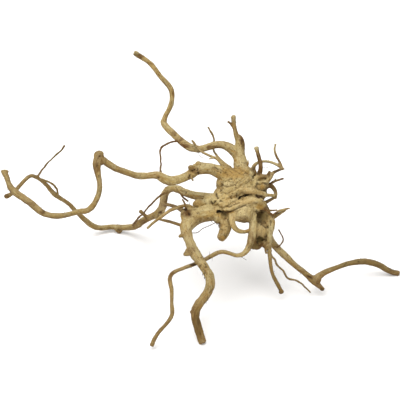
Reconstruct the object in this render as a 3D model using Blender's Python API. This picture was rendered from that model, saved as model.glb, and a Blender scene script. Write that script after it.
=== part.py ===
"""One dried spiderwood root, standing on three root tips.

Metres, +Z up, +X to the viewer's right, -Y towards the viewer. The origin is the middle of the
bounding box at floor level. Every root is a route of numbers on a life-size sheet held square to
the line of sight, which looks down on the piece by LOOK_DOWN: millimetres across from the left
edge, millimetres down from the top edge, millimetres behind the sheet, and the root's radius.
"""
import math

import bmesh
import bpy
from mathutils import Matrix, Vector

MM = 0.001
BARK = 0.3
SHEET_MIDDLE = 200.0
LOOK_DOWN = math.radians(35.0)
VIEW_DISTANCE = 1333.0
SHEET_PLACE = (-5.27, -4.9, 103.4)

ROOT_SIDES = 8
TWIG_SIDES = 5
MELT_STEP = 1.5
HOLLOW_STEP = 0.8
BURL_TRIANGLES = 2600
WELD = 0.000001
FLOOR_SPREAD = 0.6
FLOOR_DEPTH = 0.1

# Roots: across, down, behind, radius
ROOTS = {
    "upper_left": [
        (236, 180, 4, 9), (225, 175, 0, 7.2), (217, 170.8, -3, 5.8), (211, 168.8, -5, 5.4),
        (204, 168.3, -7, 5.8), (197, 169.2, -8, 6.2), (190, 175, -10, 4.6), (184, 177.7, -12, 4.2),
        (177, 180, -13, 4.2), (170, 180.5, -14, 4.5), (164, 178.3, -16, 4.3), (158, 175.4, -18, 3.8),
        (152, 175.3, -20, 3.4), (145, 176, -22, 3.4), (137, 175.4, -25, 3.4), (130, 173.5, -28, 3.3),
        (122, 170.6, -31, 3.3), (116, 168.2, -34, 3.3), (110, 165, -37, 3.4), (104, 160.6, -40, 3.1),
        (99.8, 156.8, -43, 3.6)],
    "upper_left_drop": [
        (99.5, 154, -44, 4.2), (98.2, 159, -46, 4.2), (97.1, 164.5, -48, 3.8), (97.3, 170, -49, 3.3),
        (98.4, 176, -50, 2.7), (99.5, 182, -50, 2.7), (99.6, 190, -50, 2.8), (97.8, 197, -49, 2.9),
        (94.8, 203.2, -48, 2.9), (91, 207.8, -47, 3), (86.2, 210.8, -46, 2.7), (80, 211.3, -45, 2.5),
        (73, 213.2, -43, 2.5), (66, 215, -41, 2.6), (58, 216, -38, 2.9), (50, 215.3, -35, 2.9),
        (42.2, 212.4, -32, 3.2), (35.4, 207.3, -29, 3.3), (28.6, 201.8, -27, 3.2),
        (20.5, 196.4, -24, 3.2), (15, 192.4, -22, 3.5), (11, 188.2, -21, 3.3), (8.6, 183, -19, 2.8),
        (6.6, 177, -17, 2.9), (4.1, 171.6, -15, 3.2)],
    "middle_left": [
        (226, 199, 8, 7), (212, 198, 9, 4.6), (203, 196.7, 12, 3.9), (196, 195.8, 15, 3.8),
        (190, 194.3, 18, 3.8), (184, 192, 23, 3.9), (179, 189.4, 28, 3.8), (174, 188.2, 34, 3.4),
        (170, 188.9, 39, 3.5), (166.4, 191.5, 44, 3.6), (164.2, 195.5, 49, 3.8),
        (163.4, 200.5, 55, 3.8), (163, 206, 62, 3.8), (161, 210.4, 70, 3.9), (157, 213.9, 78, 3.8),
        (152, 216.6, 87, 3.3), (146.5, 218.9, 95, 3.3), (141.5, 222, 103, 3.3),
        (136.8, 225.2, 110, 3.4), (131.5, 227, 117, 3.1), (125, 227.7, 123, 3), (118, 227.5, 127, 2.9),
        (110.5, 227, 128, 2.6), (104, 227.7, 125.5, 2.5), (97.5, 227.4, 121, 2.5),
        (91.6, 225, 116, 2.5), (86.4, 221, 110, 2.4), (81.4, 216.6, 104, 2.3), (77.2, 212.6, 99, 2.2),
        (73.6, 208.8, 94, 2.1), (69.8, 204.7, 89, 2.1), (65, 201.2, 84, 2.1), (60, 198.2, 79, 2.2),
        (55, 194.8, 74, 2.4), (51.2, 190.8, 70, 2.1), (47.8, 186.4, 66, 1.9), (44, 182.6, 61, 1.8),
        (40.2, 179.6, 57, 1.8), (36, 177.2, 53, 1.9), (32, 175.8, 49, 1.9), (28.2, 177, 45, 1.8),
        (24.4, 180.6, 41, 1.8), (20.4, 185, 36, 1.8), (17, 189, 33, 1.8), (13, 192.8, 29, 1.9),
        (9, 195.4, 25, 2.1), (5.6, 196.5, 22, 2.2)],
    "back_trunk": [
        (243, 186, 6, 9), (242.5, 174, 9, 7.8), (240.9, 165.5, 12, 6.7), (239.6, 158, 15, 6),
        (238.9, 150.5, 18, 5.4), (239, 144, 20, 4), (237, 137.5, 21, 2.8), (235, 130.5, 21, 2.3),
        (233.8, 124, 21, 2.2), (233.4, 119, 20, 2.3), (233.3, 115.9, 19, 2.2)],
    "back_bough": [
        (240, 158, 18, 4.6), (235.2, 152.6, 19, 4.6), (230, 147.9, 20, 4.2), (224, 145.2, 22, 3.8),
        (217, 144.7, 25, 3.6), (210, 146.3, 28, 3.4), (204, 148, 30, 3.3), (198, 149, 33, 3.5),
        (192, 148, 35, 3.6), (186, 144.9, 37, 3.7), (180, 140, 40, 3.4), (175.8, 136.2, 42, 3.3),
        (171.2, 131.6, 44, 3.2), (166.9, 127.1, 46, 3.1), (163.9, 123.2, 48, 3.2),
        (164.5, 119, 48, 2.7), (166.2, 114.5, 48, 2.5), (168.6, 109.8, 48, 2.4), (170.8, 105, 48, 2.6),
        (171.8, 100.5, 47, 2.4), (172.1, 95.5, 47, 2.4), (171.5, 90.7, 46, 2.4),
        (169.3, 86.4, 45, 2.5), (165.7, 82.2, 44, 2.5), (161.9, 78.2, 43, 2.3), (158.2, 73.8, 42, 2.4),
        (155.1, 69.3, 41, 2.4), (152, 65.2, 41, 2.5), (148.2, 61.6, 40, 2.5), (143.3, 58.4, 39, 2.5),
        (138.2, 55.2, 37, 2.5), (134.5, 52.7, 36, 2.4)],
    "front_leg": [
        (228, 207.5, 2, 9.5), (214, 211.8, -3, 8.2), (205.3, 214, -7, 7.6), (196.5, 216.4, -10, 7.4),
        (189.4, 221.8, -13, 7.3), (186.3, 229, -15, 6.3), (188, 237.6, -17, 5), (191, 246, -19, 4.9),
        (195.4, 254, -21, 4.9), (200.4, 262, -22, 4.7), (205.4, 269.8, -23, 4.7),
        (209.5, 277.2, -23, 4.9), (210.4, 284, -23, 4.7), (208.1, 291.2, -23, 4.6),
        (203.6, 298.2, -22, 4.4), (199, 304.4, -22, 4.3), (195.7, 311, -22, 4.3),
        (195.2, 318, -22, 4.1), (197.3, 326, -22, 3.9), (200, 334, -22, 3.9), (202.9, 342.6, -22, 4)],
    "slim_leg": [
        (248, 206, -4, 5.5), (252, 214, -7, 4.4), (253, 223, -9, 4), (252.4, 232, -11, 4),
        (250.9, 240, -12, 3.8), (249.4, 246, -13, 3.4), (246.5, 251, -14, 2.9),
        (242.2, 254.4, -15, 2.5), (236.6, 255.4, -15, 2.1), (230, 253.4, -16, 2), (224, 251.8, -16, 2),
        (218, 252.7, -16, 2), (212, 255.7, -16, 2), (206, 259.1, -15, 1.9), (199.5, 262.2, -15, 1.8),
        (193.5, 264.6, -16, 1.8), (187.5, 266.6, -18, 1.8), (181.5, 269, -20, 1.8),
        (176.3, 271, -21, 1.9), (172.2, 273.6, -22, 2), (170, 277.6, -23, 2), (170.3, 283, -24, 2),
        (171.6, 289, -25, 1.9), (171.9, 296, -26, 1.8), (171.7, 303, -27, 1.8), (172, 309, -28, 2),
        (172, 314.2, -29, 2), (169.4, 319.7, -30, 2), (165.7, 324.5, -30, 1.9),
        (161.8, 328.8, -31, 1.9), (158, 333.3, -31, 1.9), (154.4, 339, -31, 2),
        (151.6, 345.8, -31, 2.1)],
    "right_root": [
        (260, 226, 14, 5.6), (265, 232, 15, 5.2), (269.4, 238.6, 16, 4), (274, 244.5, 17, 3.2),
        (278.6, 249.5, 18, 3.2), (283.5, 254.3, 20, 3.3), (288.8, 259.5, 22, 3.2),
        (294.5, 264.9, 24, 2.9), (301.2, 270.3, 26, 2.8), (307.5, 275.3, 29, 3),
        (313.3, 280.5, 31, 3.7), (317.8, 284.8, 33, 2.8), (320.7, 287.5, 33, 2.1),
        (323.2, 289.7, 34, 1.8)],
    "right_bough": [
        (312.5, 280.6, 31, 3.2), (316.6, 278, 32, 3.4), (321, 274.6, 33, 3), (327, 271.4, 35, 2.4),
        (335, 268, 39, 2.3), (343, 265.1, 43, 2.3), (351, 262.9, 47, 2.4), (359, 261.6, 51, 2.7),
        (366, 261.6, 55, 2.7), (373, 262.9, 58, 2.7), (380, 265.6, 61, 2.8), (386, 269.2, 63, 2.6),
        (392, 271.9, 65.6, 2.4), (398.6, 273.2, 68, 2.7)],
    "middle_leg": [
        (262, 205, 2, 4), (267.8, 210.8, -1, 3), (271.4, 216, -2, 2.4), (272.9, 221, -2, 2.7),
        (271.6, 227.5, -1, 2.8), (270, 234, 1, 2.4), (269.3, 240, 3, 2.4), (269, 246, 6, 2.5),
        (269.4, 252, 9, 2.2), (270.2, 260, 12, 1.8), (271, 267, 15, 1.8), (272.5, 274, 18, 1.8),
        (275.4, 280.3, 21, 1.9), (278.7, 286.3, 24, 1.9), (280.7, 289.9, 26, 1.8),
        (282, 292.3, 27, 2.2)],
    "front_loop": [
        (234, 206, -6, 3.4), (232, 212, -13, 2.7), (231.6, 218.5, -16, 2.6), (233.1, 225, -17, 2.6),
        (237, 230, -17, 2.3), (242, 231.8, -16, 1.9), (247, 231.3, -14, 1.9), (252.5, 229.5, -11, 2)],
    "cut_stub": [
        (227, 211, 0, 8.6), (225.6, 219, -3, 8.1), (225.7, 226, -5, 6.4), (224.2, 232.5, -7, 5.6),
        (221.6, 240.4, -9, 4.7)],
    "rear_stub": [(233, 192, 12, 8), (229.5, 188, 25, 6.2), (227.3, 185.6, 33, 5.2)],
    "rear_stub_low": [(249, 201, 10, 7), (252.4, 205, 23, 5), (254.4, 207.6, 31, 4.1)],
    "ridge_root": [
        (237, 191.6, -10, 2.4), (242, 190.5, -14, 2.6), (248, 190.6, -16, 2.7), (254, 191.7, -15, 2.5),
        (260, 193.8, -12, 2), (265.5, 195, -8, 1.6), (271, 195.3, -3, 1.5), (276, 195.6, 2, 1.5)],
    "fold": [
        (222, 212.5, -9, 2.2), (229.5, 209.8, -14, 2.4), (237, 206, -16, 2.9), (245, 202.6, -16, 3.1),
        (253, 201.2, -14, 3), (260.5, 201.8, -9, 2.7), (265, 205, -2, 2.4)],
}

# Twigs, stubs and splinters: the same four numbers
TWIGS = {
    "bough_spine": [
        (240, 133.5, 21, 0.9), (242, 137.5, 20, 1.6), (243.3, 142, 19, 1.8), (243, 150, 18, 1.8),
        (243, 158, 16, 2)],
    "trunk_spur": [
        (234.4, 129, 21, 1.4), (232.4, 126.3, 20, 1.1), (230, 123, 18, 1), (228, 121.8, 17, 0.9)],
    "rear_twig": [
        (234, 172, 10, 2.2), (229, 167, 14, 1.6), (225, 163.8, 19, 1.3), (220, 159.2, 25, 1.2),
        (216, 154.4, 31, 1.1), (213.7, 150.4, 35, 1.1), (213.6, 146, 37, 1), (214.2, 141, 37, 1),
        (213, 135.7, 36, 1), (210.2, 131.2, 34, 0.9), (208, 127, 32, 0.6)],
    "fore_twig": [
        (229, 172, 0, 2.8), (224.6, 166.8, 4, 2.2), (220.6, 162, 8, 1.8), (217, 158.6, 12, 1.5),
        (212, 156.6, 16, 1.3), (207, 154.4, 20, 1.2), (201.8, 151.7, 24, 1.1), (197.4, 147.4, 27, 1),
        (192, 140.4, 28, 0.9)],
    "fore_twig_spur": [(215, 157.6, 13, 0.9), (212, 158.2, 12, 0.7), (209.2, 158.8, 11, 0.6)],
    "trunk_bristle": [(245.5, 170, 8, 1.4), (247.8, 166, 6, 0.7), (248, 160.8, 5, 0.5)],
    "crown_stub": [
        (256, 183, 4, 3), (258.3, 176.5, 1, 2.2), (260.2, 171, -1, 2), (260.7, 166, -2, 1.9),
        (260, 161, -2, 1.7), (258.7, 156, -2, 1.6), (257.2, 151, -2, 1.8), (256.2, 147.2, -2, 2.2)],
    "crown_arch": [
        (259, 180, 8, 2.4), (257.3, 176.5, 7, 1.9), (254.8, 173, 6, 1.9), (253.3, 169.5, 5, 1.8),
        (254.2, 166.2, 5, 1.5), (257.2, 163.9, 6, 1.4), (262, 162.3, 8, 1.3), (268, 162.2, 9, 1.3),
        (273, 163.3, 9, 1.3), (278, 165.3, 9, 1.4), (281.6, 167.7, 8, 1.6), (283.2, 169.6, 8, 1.4)],
    "crown_whip": [
        (282.5, 169.3, 8.3, 1), (280.9, 165, 9, 1.1), (278.4, 160, 10, 1), (275.7, 154.4, 10, 0.9),
        (274.4, 149, 10, 0.9), (275.4, 144.2, 9, 0.9)],
    "crown_prop": [
        (258, 190, -3, 4), (263.5, 185.6, -5, 3.8), (267.4, 181, -6, 3), (270.2, 176.8, -6, 2.2),
        (272.6, 172.8, -4, 1.6), (277, 170.8, 0, 1.2), (281.4, 169.1, 5.4, 1.2)],
    "crown_peg": [(267.6, 177.5, -4, 1.3), (268.8, 174.6, -5, 1.1), (270.5, 170.8, -5, 1)],
    "crown_shelf": [(255, 179, 0, 2.4), (261, 176.6, -2, 2.2), (267.5, 176.4, -4, 1.9)],
    "side_twig": [
        (267, 187, 3, 1.6), (271, 183.2, 2, 1.1), (274.4, 181.4, 1, 0.9), (278.4, 180.1, 0, 0.8),
        (283.3, 178.6, -2, 0.7)],
    "side_twig_spur": [(275.8, 181.2, 0, 0.7), (275, 178.8, -1, 0.5)],
    "side_hook": [
        (262, 189, 6, 4), (266.5, 185.6, 7, 2.8), (270.5, 185.6, 8, 2.2), (273.4, 188, 8, 1.9),
        (275.2, 191.2, 6, 1.8), (275.8, 195, 4, 1.6), (275.8, 198.6, 2, 1)],
    "side_return": [(276, 196.4, 3, 1.4), (270.8, 199.6, 4, 1.5), (264.5, 203, 4, 1.8)],
    "right_prong": [
        (268, 221, 4, 2.2), (273.2, 217.2, 2, 2.2), (278.4, 213.8, 1, 1.9), (284, 210.6, -1, 1.4),
        (290.2, 208.3, -3, 0.7)],
    "right_prong_low": [
        (269, 223, 5, 1.8), (275, 217.8, 6, 1.4), (280, 214.6, 6, 1.2), (284.6, 212, 5, 0.8)],
    "right_needle": [(262, 210.4, 0, 1.2), (270, 210.4, -2, 0.6), (277, 210.2, -3, 0.5)],
    "right_needle_low": [(265, 208, -3, 1.2), (269.4, 212.2, -6, 0.8), (273.8, 217, -6, 0.7)],
    "right_whisker": [
        (274, 247, 16, 1.2), (278.6, 246, 13, 0.7), (281.2, 243.8, 11, 0.6), (283, 239.5, 8, 0.5),
        (281, 234.2, 6, 0.5), (278.6, 229.6, 4, 0.5)],
    "notch_thorn": [(267, 243, 5, 2), (265.8, 248, 4, 1.5), (266.2, 253.6, 4, 0.6)],
    "leg_thorn": [(271, 250, 8, 1.4), (268, 252.4, 7, 0.7), (265.8, 253.4, 6, 0.5)],
    "leg_tendril": [
        (269.4, 251, 10, 1.4), (271.8, 256.2, 11, 0.8), (275, 260, 12, 0.8), (276.8, 264.4, 14, 0.8),
        (279.8, 267.6, 15, 0.8), (283, 270.3, 16, 0.8), (284.7, 273.6, 17, 0.8), (286.4, 277, 19, 0.8),
        (290, 279.2, 20, 0.8), (295, 279.9, 22, 0.8), (299, 281.8, 23, 0.8), (303.6, 286, 25, 0.7),
        (307.6, 289.6, 27, 0.6), (310.4, 292.6, 28, 0.5)],
    "leg_knob": [(188, 234.5, -16, 3), (182, 236.2, -18, 1.6), (177.4, 236.6, -19, 1.2)],
    "leg_knob_low": [(193, 250.6, -21, 3.6), (188.3, 253.6, -22, 2.7), (184.6, 255.6, -23, 1.8)],
    "cross_root": [
        (198, 210.5, -7, 2.4), (194, 208.3, -9, 1.7), (188.3, 205.6, -12, 1.5), (182, 206.2, -14, 1.7),
        (176, 208, -14, 1.8), (171, 209.9, -14, 1.7), (166, 213.2, -13, 1.5), (160, 217.8, -11, 1.4),
        (155, 221.4, -9, 1.3), (151, 224.8, -8, 1.2), (147.2, 228.6, -7, 1.2)],
    "bridge_root": [
        (161.5, 204, 60, 2.2), (166, 204.4, 50, 1.7), (172, 205.6, 32, 1.7), (178, 208, 14, 1.9),
        (184, 211.5, -2, 2.6)],
    "low_bridge": [
        (189, 227.5, -12, 2.4), (180, 224.8, -8, 1.7), (172, 222.4, -2, 1.5), (166, 220.8, 3, 1.4),
        (157.4, 219, 9, 0.9)],
    "leg_spike": [
        (189.6, 218, -15, 1.8), (187.8, 213, -18, 1.3), (186.4, 209.4, -20, 0.9),
        (184.7, 204, -22, 0.9), (182.3, 199.3, -23, 0.6)],
    "elbow_twig": [
        (180.5, 191, 26, 1.5), (181.6, 195, 23, 1), (184, 198, 21, 0.9), (188, 201.2, 18, 0.7)],
    "long_twig": [
        (167, 191.5, 40, 1.1), (161, 195.1, 40, 0.8), (156, 199.6, 42, 0.8), (150, 205.4, 48, 0.75),
        (145.4, 210.4, 56, 0.75), (143.2, 213.8, 66, 0.7), (139, 217.2, 78, 0.8),
        (136, 220.8, 90, 0.8), (133, 225.4, 106, 1)],
    "elbow_peg": [(148.5, 218.4, 90, 2.2), (144.6, 215, 87, 1.4), (139.8, 210.7, 84, 1.3)],
    "hanging_twig": [
        (180, 141, 38, 1.2), (176, 141.4, 37, 0.9), (170, 142.2, 34, 0.8), (165, 144.6, 31, 0.8),
        (161, 147.8, 28, 0.8), (160, 152, 24, 0.7), (160.7, 158, 19, 0.7), (160.8, 165, 11, 0.7),
        (160.6, 173.6, -8, 0.9)],
    "far_twig": [
        (37.4, 177, 53, 1.2), (41.7, 170.5, 51, 0.8), (45.8, 165, 49, 0.75), (49.8, 161, 47, 0.7),
        (53.8, 157.1, 46, 0.7), (57.8, 153.5, 44, 0.7), (61.9, 150, 42, 0.7), (64.6, 145.4, 41, 0.7)],
    "far_loop": [
        (41, 179.2, 58, 1), (44.5, 180.2, 60, 0.8), (48.5, 181.7, 62, 0.8), (53, 184.6, 65, 0.8),
        (56.6, 188.4, 70, 0.8), (57.5, 192, 74, 0.8), (57.6, 196.4, 77, 1)],
    "ground_nub": [(121.4, 227.6, 125, 2.6), (119.8, 230.4, 127.6, 2.3), (118.2, 232.2, 129.4, 2.1)],
    "ground_nub_small": [(102.5, 226.6, 124, 1.8), (102, 229.9, 125.4, 1.1)],
    "knot_peg": [(197, 171, -12, 3.2), (192, 168.6, -15, 2.4), (188.8, 166.7, -16, 1.8)],
    "knot_lump": [(203, 169, -8, 4.6), (199.5, 165.5, -10, 3.6), (198, 164, -11, 2.6)],
    "knot_sliver": [(190, 176, -14, 1.4), (191.8, 178.4, -16, 0.8), (193, 180.6, -17, 0.6)],
    "upper_left_nub": [(104, 161, -41, 1.6), (106, 157.8, -42, 0.7)],
}

# Swollen parts of the burl: across, down, behind, and half sizes across, down, behind
LUMPS = [
    (235.5, 184, 4, 19.6, 13, 17),
    (229, 196, 4, 16, 12, 17),
    (245, 194, 4, 16, 14, 17),
    (255, 191, 6, 11.5, 14, 12),
    (243, 206, 2, 18, 9.5, 14),
    (218, 207, 3, 10, 8, 11),
    (200, 204, 0, 7.5, 5.2, 6),
    (244, 215, 2, 12.5, 10.8, 10),
    (217, 212, -2, 8.5, 10, 8),
    (263, 186, -1, 5.6, 5.6, 5.6),
    (189, 216, -10, 8.6, 9, 7),
    (262, 214, 12, 8.5, 12, 7),
    (262, 230, 14, 7, 15, 5),
    (257, 244, 10, 6, 6, 5),
    (243, 174, 7, 11.5, 9, 11),
]

# Hollows rotted into the burl: the same six numbers
HOLLOWS = [
    (263, 216.5, 0, 6.6, 5.2, 11),
    (261, 238, 4, 4.6, 4, 9),
    (244, 197.4, -15, 6, 1.5, 8),
    (220, 211.6, -15, 3.6, 2, 8),
    (226, 215.5, -13, 2.6, 3, 6),
    (260, 197.6, -9, 3.4, 1.8, 7),
    (186, 209.8, -15, 1.6, 1.4, 5),
    (193.2, 170.2, -14, 1.8, 1.8, 5),
    (262.9, 250, 10, 1.7, 3, 9),
    (243, 184, 23, 5, 5.5, 6),
]

ACROSS = Vector((1.0, 0.0, 0.0))
UP = Vector((0.0, math.sin(LOOK_DOWN), math.cos(LOOK_DOWN)))
AWAY = Vector((0.0, math.cos(LOOK_DOWN), -math.sin(LOOK_DOWN)))


def sheet_point(across, down, behind):
    """Point of the standing piece, in millimetres, that is seen at a place of the sheet."""
    widen = 1.0 + behind / VIEW_DISTANCE
    in_plane = ACROSS * (across - SHEET_MIDDLE) + UP * (SHEET_MIDDLE - down)
    return Vector(SHEET_PLACE) + in_plane * widen + AWAY * behind


def new_object(name, mesh, collection):
    """Object with the mesh, linked into the collection."""
    item = bpy.data.objects.new(name, mesh)
    collection.objects.link(item)
    return item


def tube(name, route, sides, collection):
    """Closed tube with one ring at each route point, the rings carried along without twist."""
    centres = [sheet_point(a, d, b) for a, d, b, r in route]
    radii = [(r + BARK) * (1.0 + b / VIEW_DISTANCE) for a, d, b, r in route]
    # A flat-sided ring has the same width on average as the round root
    widen = 2.0 / (1.0 + math.cos(math.pi / sides))
    last = len(centres) - 1
    body = bmesh.new()
    rings = []
    side = None
    for i, centre in enumerate(centres):
        ahead = (centres[min(i + 1, last)] - centre).normalized() if i < last else Vector()
        back = (centre - centres[max(i - 1, 0)]).normalized() if i > 0 else Vector()
        along = (ahead + back).normalized()
        if side is None:
            side = along.orthogonal().normalized()
        side = (side - along * side.dot(along)).normalized()
        other = along.cross(side)
        ring = []
        for k in range(sides):
            angle = 2.0 * math.pi * k / sides
            reach = side * math.cos(angle) + other * math.sin(angle)
            ring.append(body.verts.new((centre + reach * radii[i] * widen) * MM))
        rings.append(ring)
    for first, second in zip(rings, rings[1:]):
        for k in range(sides):
            n = (k + 1) % sides
            body.faces.new((first[k], first[n], second[n], second[k]))
    body.faces.new(rings[0][::-1])
    body.faces.new(rings[-1])
    bmesh.ops.triangulate(body, faces=body.faces[:])
    mesh = bpy.data.meshes.new(name)
    body.to_mesh(mesh)
    body.free()
    return new_object(name, mesh, collection)


def add_ellipsoid(body, lump, subdivisions):
    """Add one ball, squeezed to its three half sizes along the sheet's own directions."""
    across, down, behind, half_across, half_down, half_behind = lump
    turn = Matrix((ACROSS * half_across, UP * half_down, AWAY * half_behind)).transposed().to_4x4()
    place = Matrix.Scale(MM, 4) @ Matrix.Translation(sheet_point(across, down, behind)) @ turn
    bmesh.ops.create_icosphere(body, subdivisions=subdivisions, radius=1.0, matrix=place)


def ellipsoids(name, lumps, subdivisions, collection):
    """One object that holds all balls of a table."""
    body = bmesh.new()
    for lump in lumps:
        add_ellipsoid(body, lump, subdivisions)
    bmesh.ops.recalc_face_normals(body, faces=body.faces[:])
    mesh = bpy.data.meshes.new(name)
    body.to_mesh(mesh)
    body.free()
    return new_object(name, mesh, collection)


def apply_all(item):
    """Replace the object's mesh by the result of its modifiers."""
    graph = bpy.context.evaluated_depsgraph_get()
    result = bpy.data.meshes.new_from_object(item.evaluated_get(graph))
    old = item.data
    item.modifiers.clear()
    item.data = result
    bpy.data.meshes.remove(old)


def remesh(item, step):
    """Melt overlapping skins into one, on a grid of the given step in millimetres."""
    melt = item.modifiers.new("melt", "REMESH")
    melt.mode = "VOXEL"
    melt.voxel_size = step * MM


def make_burl(collection):
    """Burl: the lumps melted into one skin, eased, hollowed and thinned."""
    burl = ellipsoids("spiderwood_root", LUMPS, 4, collection)
    remesh(burl, MELT_STEP)
    ease = burl.modifiers.new("ease", "SMOOTH")
    ease.factor = 0.5
    ease.iterations = 3
    cutters = ellipsoids("hollows", HOLLOWS, 3, collection)
    cutters.hide_render = True
    cutters.display_type = "WIRE"
    hollow = burl.modifiers.new("hollow", "BOOLEAN")
    hollow.operation = "DIFFERENCE"
    hollow.solver = "EXACT"
    hollow.object = cutters
    remesh(burl, HOLLOW_STEP)
    apply_all(burl)
    thin = burl.modifiers.new("thin", "DECIMATE")
    thin.ratio = BURL_TRIANGLES / (2.0 * len(burl.data.polygons))
    apply_all(burl)
    bpy.data.objects.remove(cutters)
    return burl


def join_roots(burl):
    """Grow all roots and twigs out of the burl with one Boolean union."""
    grown = bpy.data.collections.new("grown")
    bpy.context.scene.collection.children.link(grown)
    for name, route in ROOTS.items():
        tube(name, route, ROOT_SIDES, grown)
    for name, route in TWIGS.items():
        tube(name, route, TWIG_SIDES, grown)
    union = burl.modifiers.new("union", "BOOLEAN")
    union.operation = "UNION"
    union.solver = "MANIFOLD"
    union.operand_type = "COLLECTION"
    union.collection = grown
    apply_all(burl)
    for item in list(grown.objects):
        bpy.data.objects.remove(item)
    bpy.data.collections.remove(grown)


def trim_feet(root, collection):
    """Cut the three root tips flat at floor level."""
    body = bmesh.new()
    below = Matrix.Translation((0.0, 0.0, -0.5 * FLOOR_DEPTH))
    bmesh.ops.create_cube(
        body, size=1.0, matrix=below @ Matrix.Diagonal((FLOOR_SPREAD, FLOOR_SPREAD, FLOOR_DEPTH, 1.0)))
    mesh = bpy.data.meshes.new("floor")
    body.to_mesh(mesh)
    body.free()
    floor = new_object("floor", mesh, collection)
    floor.hide_render = True
    floor.display_type = "WIRE"
    trim = root.modifiers.new("trim", "BOOLEAN")
    trim.operation = "DIFFERENCE"
    trim.solver = "EXACT"
    trim.object = floor
    apply_all(root)
    bpy.data.objects.remove(floor)


def tidy_mesh(root):
    """Weld slivers and leave triangles only."""
    body = bmesh.new()
    body.from_mesh(root.data)
    bmesh.ops.remove_doubles(body, verts=body.verts[:], dist=WELD)
    bmesh.ops.dissolve_degenerate(body, edges=body.edges[:], dist=WELD)
    bmesh.ops.triangulate(body, faces=body.faces[:])
    bmesh.ops.recalc_face_normals(body, faces=body.faces[:])
    body.to_mesh(root.data)
    body.free()
    root.data.update()


def wood_material():
    """Pale tan dry wood."""
    wood = bpy.data.materials.new("driftwood")
    wood.use_nodes = True
    shader = wood.node_tree.nodes["Principled BSDF"]
    shader.inputs["Base Color"].default_value = (0.50, 0.37, 0.18, 1.0)
    shader.inputs["Roughness"].default_value = 0.8
    return wood


def build():
    """Make the whole root."""
    for item in list(bpy.data.objects):
        bpy.data.objects.remove(item)
    collection = bpy.context.scene.collection
    root = make_burl(collection)
    join_roots(root)
    trim_feet(root, collection)
    tidy_mesh(root)
    root.data.materials.clear()
    root.data.materials.append(wood_material())
    root.data.shade_smooth()


build()
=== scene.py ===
"""Looks of a dried spiderwood root: skin, grain, cracks, hollows, twigs and root hairs.

Lengths are millimetres until a mesh is written, which is in metres. Every root is a route on a
life-size sheet held square to the line of sight: across from the left edge, down from the top edge,
behind the sheet, and the root's radius there. Work on all points of a skin is done at once, with
arrays that hold one row for each point.
"""
import math

import bpy
import numpy as np
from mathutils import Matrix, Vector


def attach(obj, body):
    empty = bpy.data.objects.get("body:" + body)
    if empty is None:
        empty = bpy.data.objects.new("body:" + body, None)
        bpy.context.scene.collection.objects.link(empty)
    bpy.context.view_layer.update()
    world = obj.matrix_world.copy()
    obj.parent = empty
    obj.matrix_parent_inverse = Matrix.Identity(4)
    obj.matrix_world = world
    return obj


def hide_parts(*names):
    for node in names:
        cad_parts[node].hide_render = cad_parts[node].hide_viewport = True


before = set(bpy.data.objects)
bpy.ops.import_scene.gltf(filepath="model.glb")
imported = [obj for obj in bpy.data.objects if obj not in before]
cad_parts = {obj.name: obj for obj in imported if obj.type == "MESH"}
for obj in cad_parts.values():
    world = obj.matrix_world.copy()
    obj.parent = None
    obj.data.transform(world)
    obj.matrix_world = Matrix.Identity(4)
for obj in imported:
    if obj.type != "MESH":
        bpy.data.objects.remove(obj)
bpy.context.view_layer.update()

NODE = "spiderwood_root"
MM = 0.001

# The sheet: middle, size, tilt of the line of sight, the camera's distance and where the middle is
SHEET_MIDDLE = 200.0
SHEET_SIZE = 400.0
LOOK_DOWN = math.radians(35.0)
VIEW_DISTANCE = 1333.0
SHEET_PLACE = np.array([-5.27, -4.9, 103.4])
ACROSS = np.array([1.0, 0.0, 0.0])
UP = np.array([0.0, math.sin(LOOK_DOWN), math.cos(LOOK_DOWN)])
AWAY = np.array([0.0, math.cos(LOOK_DOWN), -math.sin(LOOK_DOWN)])

# Farther than anything in the scene, and how far behind the nearest wood the near side ends
FAR = 1000.0
NEAR_EDGE = (3.0, 6.0)

# Skins: melting grid, step along a route, bark on every radius, radius of the thin twigs
SKIN_STEP = 0.6
ROUTE_STEP = 1.2
BARK = 0.2
THIN = 0.95
ROOT_SIDES = 20
TWIG_SIDES = 10
HAIR_SIDES = 6
SPLINTER_SIDES = 5
BALL_ROWS = 20
BALL_COLUMNS = 32
PIECE_TRIANGLES = 180000
CHUNK = 4000

# Tubes: domed ends as shares of the radius, then how their low lobes wind and how high they are
DOME_WIDTH = np.array([0.15, 0.6, 0.88])
DOME_REACH = np.array([0.34, 0.26, 0.1])
LOBE_TURN = 0.045
LOBE_SHIFT = 1.3
TWO_LOBES = 0.055
THREE_LOBES = 0.035
TUBE_TWIST = 1.7

# Direction in which a tube's first side leans: on a level tube, on a steep one, and what is steep
LEVEL_SIDE = (0.3, 0.5, 0.8)
STEEP_SIDE = (1.0, 0.2, 0.0)
STEEP = 0.7

# Balls: how fast their skin waves, and how strongly on a lump and in a hollow
BALL_WAVES = 1.7
BALL_SHIFT = 5.3
LUMP_ROUGHNESS = 0.05
HOLLOW_ROUGHNESS = 0.2

# Where a thin twig leaves its thicker base: rows shared, fewest rows, shares of the radius
SHARED_ROWS = 5
FEWEST_ROWS = 3
TIP_TAPER = (0.8, 0.5)
BASE_TAPER = (0.55, 0.7, 0.82, 0.94)

# Wiry twigs: length of a bend, how far the line wanders and where it is free to, how the radius swells
BEND_LENGTH = 4.5
WANDER = 0.32
FREE_OF_BASE = 6.0
FREE_OF_TIP = 3.0
TWIG_SWELL = 0.22
SWELL_PACE = 1.9
TWIG_SHIFT = 3.7
AXIS_SHIFT = 11.3

# Columns of a table of root points: centre, radius, brownness and direction
CENTRE = slice(0, 3)
RADIUS = 3
BROWNNESS = 4
DIRECTION = slice(5, 8)

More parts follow.
